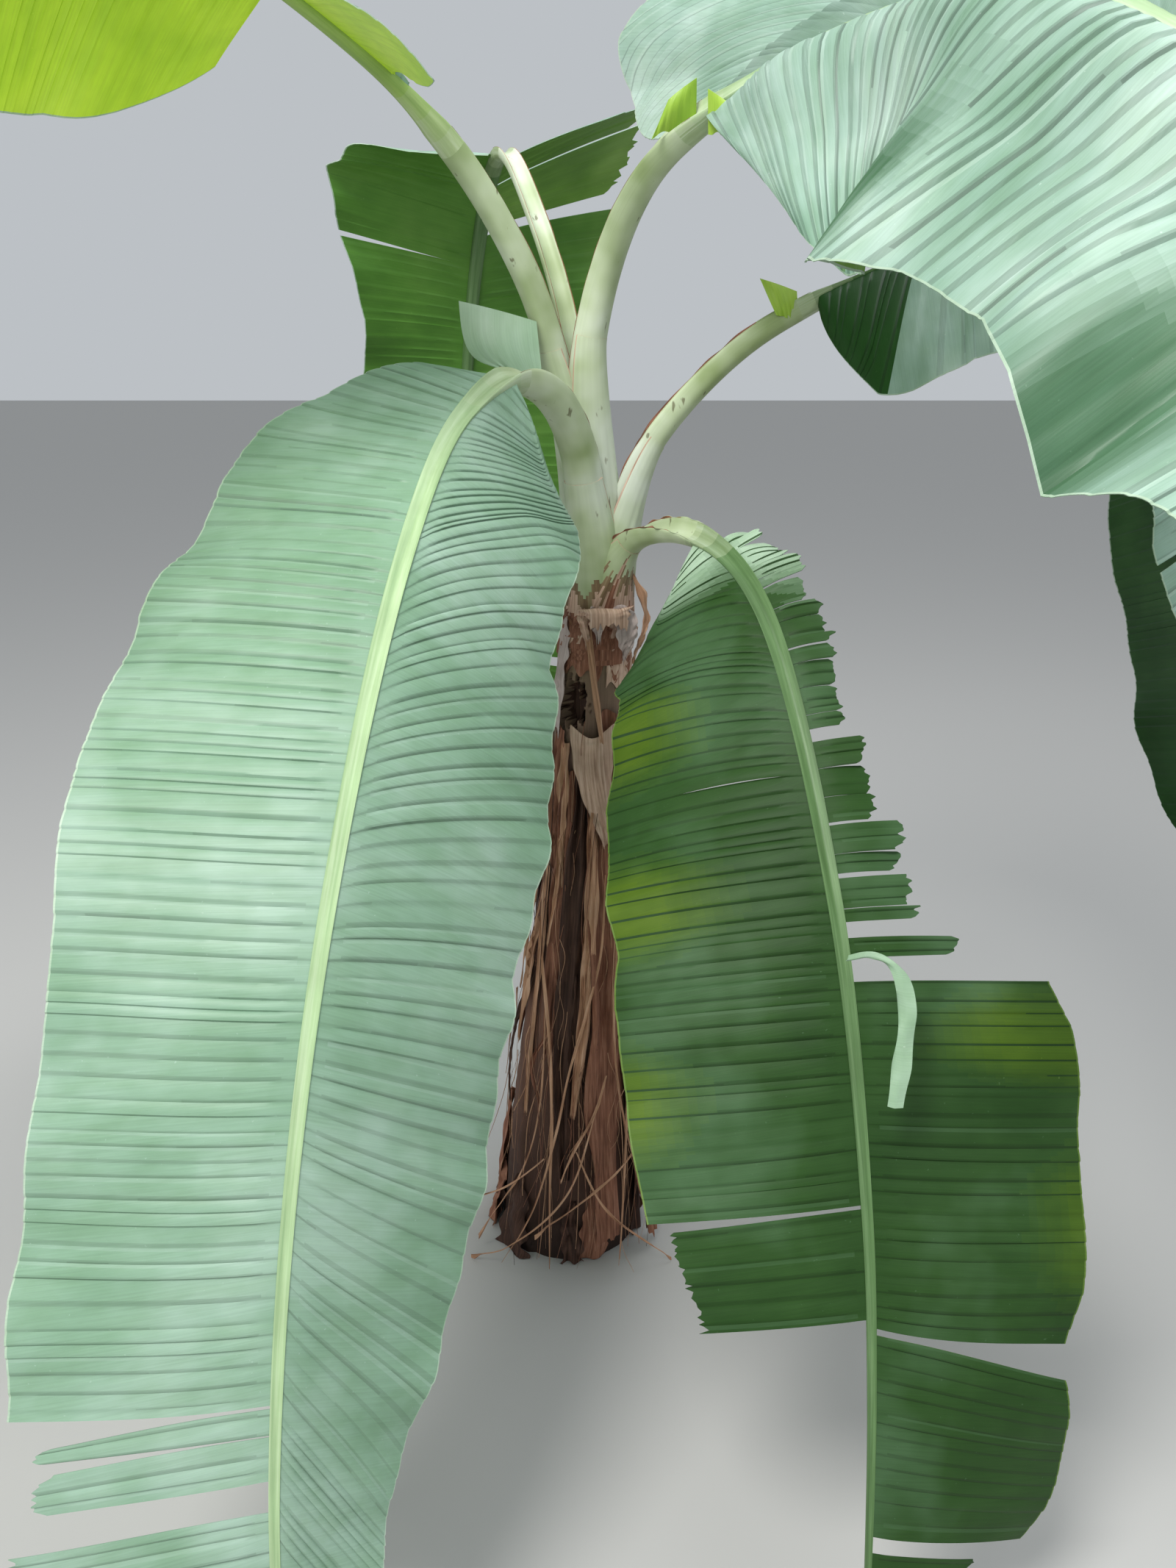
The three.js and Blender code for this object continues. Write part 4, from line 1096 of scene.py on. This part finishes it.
def make_blade(leaf, rib):
    rng = np.random.default_rng(leaf["seed"])
    shape = Shape()
    for side in (LEFT, RIGHT):
        pleats = pleat_rows(rib.blade, leaf["pitch"], rng)
        waves = [ripples(rng, *wave) for wave in (BILLOWS, FRILLS, RAGS)]
        for strip in fine_strips(leaf, rib, side, rng):
            add_strip(shape, leaf, rib, side, strip, pleats, waves, rng)
    name = leaf["name"]
    nodes = [f"{name}_inner", f"{name}_outer"]
    shape.build(f"{name}_blade", blade_kinds(leaf), nodes, crease=38)


# A stalk's section over its half width and depth: the lips and the channel, then the round keel
STALK_OUTLINE = np.array([
    (1.0, 0.08), (0.985, 0.22), (0.93, 0.3), (0.84, 0.3), (0.72, 0.16), (0.5, 0.02), (0.25, -0.06),
    (0.0, -0.08), (-0.25, -0.06), (-0.5, 0.02), (-0.72, 0.16), (-0.84, 0.3), (-0.93, 0.3),
    (-0.985, 0.22), (-1.0, 0.08), (-0.98, -0.12), (-0.9, -0.31), (-0.74, -0.46), (-0.5, -0.57),
    (-0.24, -0.62), (0.0, -0.63), (0.24, -0.62), (0.5, -0.57), (0.74, -0.46), (0.9, -0.31), (0.98, -0.12),
])
LIP_POINTS = 15


def spread(point, across, above, out, rise):
    """Rows of points beside each point of a line, moved sideways and upwards."""
    return point[:, None] + across[:, None] * out[..., None] + above[:, None] * rise[..., None]


def make_ribs(leaf, rib):
    """The stalk and the rib, one long channelled limb from the crown to the leaf's tip."""
    stalk = leaf["stalk_share"]
    place = np.concatenate([np.linspace(0, stalk, 60), np.linspace(stalk, 0.993, 130)[1:]])
    s = np.maximum((place - stalk) / (1 - stalk), 0)
    roll = np.where(place < stalk, leaf["roll"][0] * np.clip(place / stalk, 0, 1), along(leaf["roll"], s))
    point, ahead, across, above = rib.frame(place, np.radians(roll))
    flat = smooth(-0.03, 0.05, place - stalk)[:, None]
    outline = np.repeat(STALK_OUTLINE[None], len(place), 0)
    lips = STALK_OUTLINE[:LIP_POINTS]
    deep = lips[:, 1] + (1 - leaf["channel"]) * 0.34 * (1 - lips[:, 0] ** 2)
    shallow = -0.06 + 0.24 * np.abs(lips[:, 0])
    outline[:, :LIP_POINTS, 1] = lerp(deep, shallow, flat)
    half = rib_width(leaf, place)[:, None] / 2
    depth = 2 * half * lerp(0.8, 0.62, flat)
    rings = spread(point, across, above, outline[..., 0] * half, outline[..., 1] * depth)
    sides = len(STALK_OUTLINE)
    kinds = np.zeros((len(place) + 1, sides), int)
    for step, ring in enumerate(COLOUR_RINGS, start=1):
        kinds[ring:] = step
    shape = Shape()
    shape.tube(rings[:, ::-1], kinds.ravel(), pairs(place * rib.length, np.linspace(0, 0.1, sides)))
    name = leaf["name"]
    shape.build(f"{name}_rib", [STALK, *RIBS[leaf["rib_tone"]]], [f"{name}_stalk"], crease=70)


def make_edges(leaf, rib):
    """Thin wings on the lips of the stalk: dry, brown and wavy on older leaves, slim on young ones."""
    rng = np.random.default_rng(leaf["seed"] + 100)
    shape = Shape()
    rows, columns = 110, 4
    bare = np.linspace(0.02, 0.98, rows)
    place = bare * leaf["stalk_share"]
    half = rib_width(leaf, place)[:, None] / 2
    point, ahead, across, above = rib.frame(place, np.radians(leaf["roll"][0] * bare))
    t = np.linspace(0, 1, columns)
    kinds = np.zeros((rows - 1, columns - 1), int)
    kinds[bare[:-1] < leaf["dry_share"]] = 1
    old = leaf["dry_share"] > 0.5
    if not old:
        kinds[:, -1] = 1
    mean_height, more_height, more_curl = (3.0, 1.4, 0.5) if old else (2.2, 0.5, 0.1)
    for sign in (-1, 1):
        wave = ripples(rng, 4, 3, 13)(bare)
        tall = ripples(rng, 4, 2, 11)(bare)
        height = (mean_height + more_height * tall) * MM * smooth(0, 0.06, bare)
        height = (height * (1 - 0.7 * smooth(0.6, 1, bare)))[:, None]
        curl = (0.3 + more_curl * wave)[:, None] * t ** 1.5 * height
        grid = spread(point, across, above, sign * (0.9 * half + curl), 0.432 * half + t * height)
        uv = pairs(place * rib.length, t * 0.01)
        shape.sheet(grid, across[:, None] * (LIP_HALF * MM), uv, kinds.ravel(), flip=True)
    shape.build(f"{leaf['name']}_stalk_edges", [STALK, DRY[BROWN]])


def make_sheath(leaf, rib):
    """The foot of a stalk, widened to clasp the stem's top; dry below the crown."""
    rng = np.random.default_rng(leaf["seed"] + 300)
    rows, columns = 60, 44
    layer = leaf["layer"]
    t = np.linspace(0, 1, rows)
    turns = np.linspace(-1, 1, columns)
    share = np.linspace(0, 0.36 * leaf["stalk_share"], rows)
    point, ahead, across, above = rib.frame(share, 0.0)
    z = lerp(STEM_HEIGHT - SHEATH_DROP + LAYER_DROP * layer, rib.places[0][2] / MM, t)
    blend = smooth(0.3, 1, t)[:, None]
    centre = lerp(stem_centre(z) * MM, point, blend)
    clasp = (stem_radius(np.minimum(z, STEM_HEIGHT)) + SHEATH_LIFT + LAYER_LIFT * layer) * MM
    radius = lerp(clasp, rib_width(leaf, share) / 2 * 1.02, blend[:, 0])
    facing = outward(np.radians(leaf["heading"]))
    keel = unit(lerp(facing, -above, blend))
    wide = unit(lerp(np.cross(facing, [0, 0, 1.0]), across, blend))
    angle = np.radians(lerp(122, 92, t))[:, None] * turns
    crumple = 1.2 * ripples(rng, 4, 1, 5)(turns + 0.4 * t[:, None]) * (1 - blend)
    reach = radius[:, None] + crumple * MM
    grid = spread(centre, keel, wide, np.cos(angle) * reach, np.sin(angle) * reach)
    normal = unit(grid - centre[:, None])
    uv = np.stack([np.broadcast_to(t[:, None] * 0.3, angle.shape), angle * 0.05], -1)
    height = grid[:-1, :-1, 2] / MM
    raised, foot = leaf["dry_foot"]
    jagged = 26 * ripples(rng, 4, 1, 6)(turns)[:-1] + raised
    kinds = np.where(height < DRY_TOP + foot + 0.6 * jagged, 3, 0)
    kinds[height < DRY_TOP + jagged] = 1
    kinds[height < DRY_TOP + jagged - 34] = 2
    kinds[:, [0, -1]] = 1
    shape = Shape()
    shape.sheet(grid, normal * (SHEATH_HALF * MM), uv, kinds.ravel())
    shape.build(f"{leaf['name']}_sheath", [STALK, DRY[PAPERY], DRY[BROWN], STALK_FOOT])


def make_lobes(leaf):
    """Patches at the blade's foot that stand up or hang from the stalk."""
    rng = np.random.default_rng(leaf["seed"] + 500)
    shape = Shape()
    even = np.linspace(0, 1, 18)
    uv = pairs(even, even)
    u, v = uv[..., :1], uv[..., 1:]
    for number, (tone, bulge, bow, corners) in enumerate(leaf["lobes"]):
        a, b, c, d = np.array(corners, float)
        edge = 0.05 * ripples(rng, 3, 0.8, 2.5)(u) * v
        grid = lerp(lerp(a, b, u), lerp(c, d, u), v + edge)
        grid = grid + np.array(bow) * (np.sin(math.pi * v) * (1 - u))
        grid = grid + np.array(bulge) * (np.sin(math.pi * u) * np.sin(math.pi * v * 0.9 + 0.2))
        grid = (grid - np.array([0, 1.4, 0]) * np.sin(TURN * 5 * u) * v) * MM
        normal = unit(np.cross(np.gradient(grid, axis=0), np.gradient(grid, axis=1)))
        shape.sheet(grid, normal * (LOBE_HALF * MM), uv * (0.12, 0.1), number)
    if leaf["lobes"]:
        materials = [BLADES[lobe[0]] for lobe in leaf["lobes"]]
        shape.build(f"{leaf['name']}_lobes", materials)


# Dead leaves and fibres

def ribbon(shape, rng, path, widths, kind, depth, folds, columns, rows, crumple=1.2, under=None):
    """A crumpled strip that hangs on the stem. Its path is a list of (bearing, height, lift)."""
    bearing, z, lift = curve(path, rows).T[..., None]
    t = np.linspace(0, 1, rows)[:, None]
    c = np.linspace(-1, 1, columns)
    width = along(widths, t) * (1 + 0.12 * ripples(rng, 3, 1, 4)(t))
    twist = 0.35 * ripples(rng, 2, 0.5, 1.8)(t)
    fold = np.sin(folds * math.pi * c + 2.5 * twist) * (0.6 + 0.4 * ripples(rng, 3, 1, 4)(t))
    fold = fold * np.minimum(depth, 0.32 * width)
    fold = fold + crumple * ripples(rng, 5, 2, 9)(t + 0.23 * c) * ripples(rng, 3, 0.4, 1.4)(c)
    ragged = 0.05 * width * ripples(rng, 4, 1.5, 6)(t) * np.abs(c) ** 3 * np.sign(c)
    sideways = width / 2 * c + ragged
    out = np.maximum(lift + fold + twist * sideways * 0.35, 1.2)
    around = np.radians(bearing) + sideways / (stem_radius(z) + out)
    grid = stem_surface(z, around, out)
    drop = 11 * np.abs(ripples(rng, 4, 0.8, 3)(c)) * smooth(0.88, 1, t)
    shift = rng.uniform(0, 5)
    scallop = 0.16 * width[0] * np.cos(2.4 * c + shift) * (1 - smooth(0, 0.16, t))
    grid[..., 2] = np.maximum(grid[..., 2] - drop, 2) + scallop
    uv = np.stack([np.broadcast_to(z * MM, around.shape), sideways * MM + shift], -1)
    shape.sheet(grid * MM, outward(around) * DRY_HALF * MM, uv, kind, under, flip=True)


def make_sheaths():
    """The broad dead sheaths that hang down the stem, narrower ones between them and rags at the foot."""
    rng = np.random.default_rng(42)
    shape = Shape()
    for kind, depth, folds, widths, path in SHEATHS:
        ribbon(shape, rng, path, widths, kind, depth, folds, 16, 90, under=DARK if kind == BROWN else BROWN)
    for number in range(NARROW_SHEATHS):
        bearing = rng.uniform(-150, -4) if number < FRONT_SHEATHS else rng.uniform(10, 200)
        top, length = rng.uniform(560, 1040), rng.uniform(140, 420)
        foot = max(top - length, 20)
        sway = rng.uniform(-9, 9, 4)
        lifts = [4 + 9 * k * rng.uniform(0.4, 1) for k in range(4)]
        path = [(bearing + sway[k], lerp(top, foot, k / 3), lifts[k]) for k in range(4)]
        width = rng.uniform(6, 20)
        kind = int(rng.choice([STRAW, BROWN, DARK], p=[0.35, 0.45, 0.2]))
        widths = (width * 0.7, width, width * 0.8, 3)
        ribbon(shape, rng, path, widths, kind, 4, rng.uniform(0.8, 1.6), 8, 60)
    for number in range(FOOT_RAGS):
        bearing, height, lean = rng.uniform(-175, 185), rng.uniform(110, 330), rng.uniform(5, 26)
        bearings = [bearing + rng.uniform(-5, 5) for k in range(4)]
        path = [(bearings[k], lerp(height, 2, k / 3), 5 + (lean - 5) * k / 3) for k in range(4)]
        width = rng.uniform(34, 74)
        kind = int(rng.choice([BROWN, DARK], p=[0.5, 0.5]))
        widths = (width * 0.25, width * 0.7, width, width * 1.1)
        ribbon(shape, rng, path, widths, kind, 7, rng.uniform(0.9, 1.9), 14, 60)
    nodes = [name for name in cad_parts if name.startswith("dead_leaf")]
    shape.build("dead_sheaths", DRY, nodes, crease=55)


def make_fibres():
    """Long fibres and narrow dry strips, hanging down the stem and splayed at its foot."""
    rng = np.random.default_rng(77)
    shape = Shape()
    for width, path in FIBRES:
        ribbon(shape, rng, path, (width * 0.5, width, width, width * 0.8, 1.5), STRAW, 1.6, 0.9, 5, 90, 0.6)
    t = np.linspace(0, 1, 26)
    turn = np.linspace(0, TURN, 5, endpoint=False)
    for number in range(FIBRE_COUNT):
        front = rng.random() < 0.7
        bearing = rng.uniform(-140, 10) if front else rng.uniform(10, 215)
        top = rng.uniform(300, 1060)
        foot = max(rng.normal(90, 90), 6) if rng.random() < 0.55 else max(top - rng.uniform(120, 420), 10)
        angle = np.radians(bearing + rng.uniform(-18, 18) * t + 4 * ripples(rng, 2, 0.5, 2)(t))
        splay = rng.uniform(0, 1) ** 2.5 * 80 * smooth(0.4, 1, t) * (foot < 160)
        lift = rng.uniform(3, 26) + 4 * ripples(rng, 2, 0.6, 2.2)(t) + splay
        path = stem_surface(lerp(top, foot, t), angle, np.maximum(lift, 1.5))
        path[:, 2] = np.maximum(path[:, 2], 3)
        radius = (rng.choice([0.6, 0.9, 1.4], p=[0.5, 0.32, 0.18]) * (1 - 0.6 * t))[:, None] * MM
        kind = int(rng.choice([STRAW, BROWN, DARK], p=[0.5, 0.35, 0.15]))
        ahead = unit(np.gradient(path * MM, axis=0))
        side = unit(np.cross(ahead, [0.31, 0.17, 0.94]))
        up = np.cross(side, ahead)
        shape.tube(spread(path * MM, side, up, radius * np.cos(turn), radius * np.sin(turn)), kind)
    shape.build("dead_fibres", DRY, crease=80)


def make_collar():
    """The papery remains of old sheaths under the crown: crumpled rings, a folded lip and flaps."""
    rng = np.random.default_rng(9)
    shape = Shape()
    t = np.linspace(0, 1, 34)[:, None]
    c = np.linspace(0, 1, 70)
    over = smooth(0.8, 1, t)
    for low, high, start, stop, lip, kind in COLLAR_RINGS:
        angle = np.radians(lerp(start, stop, c)) + 0 * t
        edge = 9 * ripples(rng, 5, 1.5, 7)(c)
        z = lerp(low - 1.4 * edge, high + edge, np.minimum(t / 0.8, 1))
        z = z - over * (5 + 4 * ripples(rng, 4, 1, 5)(c))
        crumple = 1.6 * ripples(rng, 4, 2, 8)(c + 0.3 * t) * t + 0.8 * ripples(rng, 4, 3, 12)(c * 0.7 - t)
        out = 2.2 + 4 * t ** 2 * (0.7 + 0.5 * ripples(rng, 3, 1, 4)(c)) + over * lip
        grid = stem_surface(z, angle, np.maximum(out + crumple, 0.8))
        uv = np.stack([z * MM, angle * 0.06], -1)
        shape.sheet(grid * MM, outward(angle) * DRY_HALF * MM, uv, kind, BROWN)
    for kind, under, depth, folds, widths, path in FLAPS:
        ribbon(shape, rng, path, widths, kind, depth, folds, 18, 60, 1.6, under)
    shape.build("papery_collar", DRY, ["sheath_collar"])


def make_hanging_strip():
    """A torn strip of the front right leaf that hangs from its edge, with its pale side out."""
    rng = np.random.default_rng(31)
    line = curve(HANGING_PATH, 60)
    t = np.linspace(0, 1, 60)
    c = np.linspace(-1, 1, 8)
    across = (0.3 + 0.7 * smooth(0.1, 0.5, t), -0.35 + 0 * t, 0.9 * (1 - smooth(0.05, 0.4, t)))
    across = unit(np.stack(across, -1))
    out = along(HANGING_WIDTHS, t)[:, None] * c / 2
    grid = line[:, None] + across[:, None] * out[..., None]
    grid[..., 1] -= 3.0 * (1 - np.abs(c + 0.2)) + 2.5 * ripples(rng, 3, 1, 5)(t)[:, None] * c
    shape = Shape()
    shape.sheet(grid * MM, np.array([0, -TORN_HALF * MM, 0]), pairs(t * 0.26, c * 0.01), 0, 1)
    shape.build("front_right_leaf_hanging_strip", [BLADES["bloom"], BLADES["deep"]])


# Building

make_stem()
for leaf in LEAVES:
    rib = Rib(leaf)
    make_blade(leaf, rib)
    make_ribs(leaf, rib)
    make_edges(leaf, rib)
    make_sheath(leaf, rib)
    make_lobes(leaf)
make_hanging_strip()
make_sheaths()
make_fibres()
make_collar()


# Floor, light and camera

def make_stage():
    mesh = bpy.data.meshes.new("floor")
    corners = [(x * FLOOR_REACH, y * FLOOR_REACH, 0) for x, y in ((-1, -1), (1, -1), (1, 1), (-1, 1))]
    mesh.from_pydata(corners, [], [(0, 1, 2, 3)])
    mesh.materials.append(Surface("floor_paint", 0.9, 0.2).finish((0.5, 0.495, 0.48)))
    floor = bpy.data.objects.new("floor", mesh)
    bpy.context.scene.collection.objects.link(floor)


def add_light(name, place, target, size, power, colour):
    data = bpy.data.lights.new(name, "AREA")
    data.shape = "DISK"
    data.size = size
    data.energy = power
    data.color = colour
    light = bpy.data.objects.new(name, data)
    light.location = place
    light.rotation_euler = (Vector(target) - Vector(place)).to_track_quat("-Z", "Y").to_euler()
    bpy.context.scene.collection.objects.link(light)


def make_lights():
    world = bpy.data.worlds.new("studio")
    world.use_nodes = True
    background = world.node_tree.nodes["Background"]
    background.inputs["Color"].default_value = (0.9, 0.95, 1.0, 1)
    background.inputs["Strength"].default_value = 0.56
    bpy.context.scene.world = world
    bpy.context.scene.view_settings.view_transform = "Standard"
    add_light("sky_key", (-1.4, -2.75, 4.9), (0, -0.3, 1.0), 1.8, 212, (1.0, 0.99, 0.96))
    add_light("sky_top", (1.2, 0.6, 5.2), (0.1, -0.2, 1.0), 2.6, 70, (0.95, 0.98, 1.0))
    add_light("low_fill", (-1.6, -3.2, 0.9), (-0.5, -0.3, 2.0), 1.6, 14, (1.0, 1.0, 0.97))
    add_light("side_fill", (2.3, -3.4, 2.5), (-0.2, -0.5, 1.1), 2.4, 30, (0.97, 0.99, 1.0))


def make_camera():
    data = bpy.data.cameras.new("view")
    data.sensor_width = 36
    data.lens = data.sensor_width * CAMERA_FOCAL_PIXELS / PICTURE_HEIGHT
    data.clip_start = 0.05
    camera = bpy.data.objects.new("view", data)
    camera.location = CAMERA_PLACE
    camera.rotation_euler = Euler((math.radians(90 - CAMERA_PITCH), 0, 0))
    bpy.context.scene.collection.objects.link(camera)
    bpy.context.scene.camera = camera


make_stage()
make_lights()
make_camera()
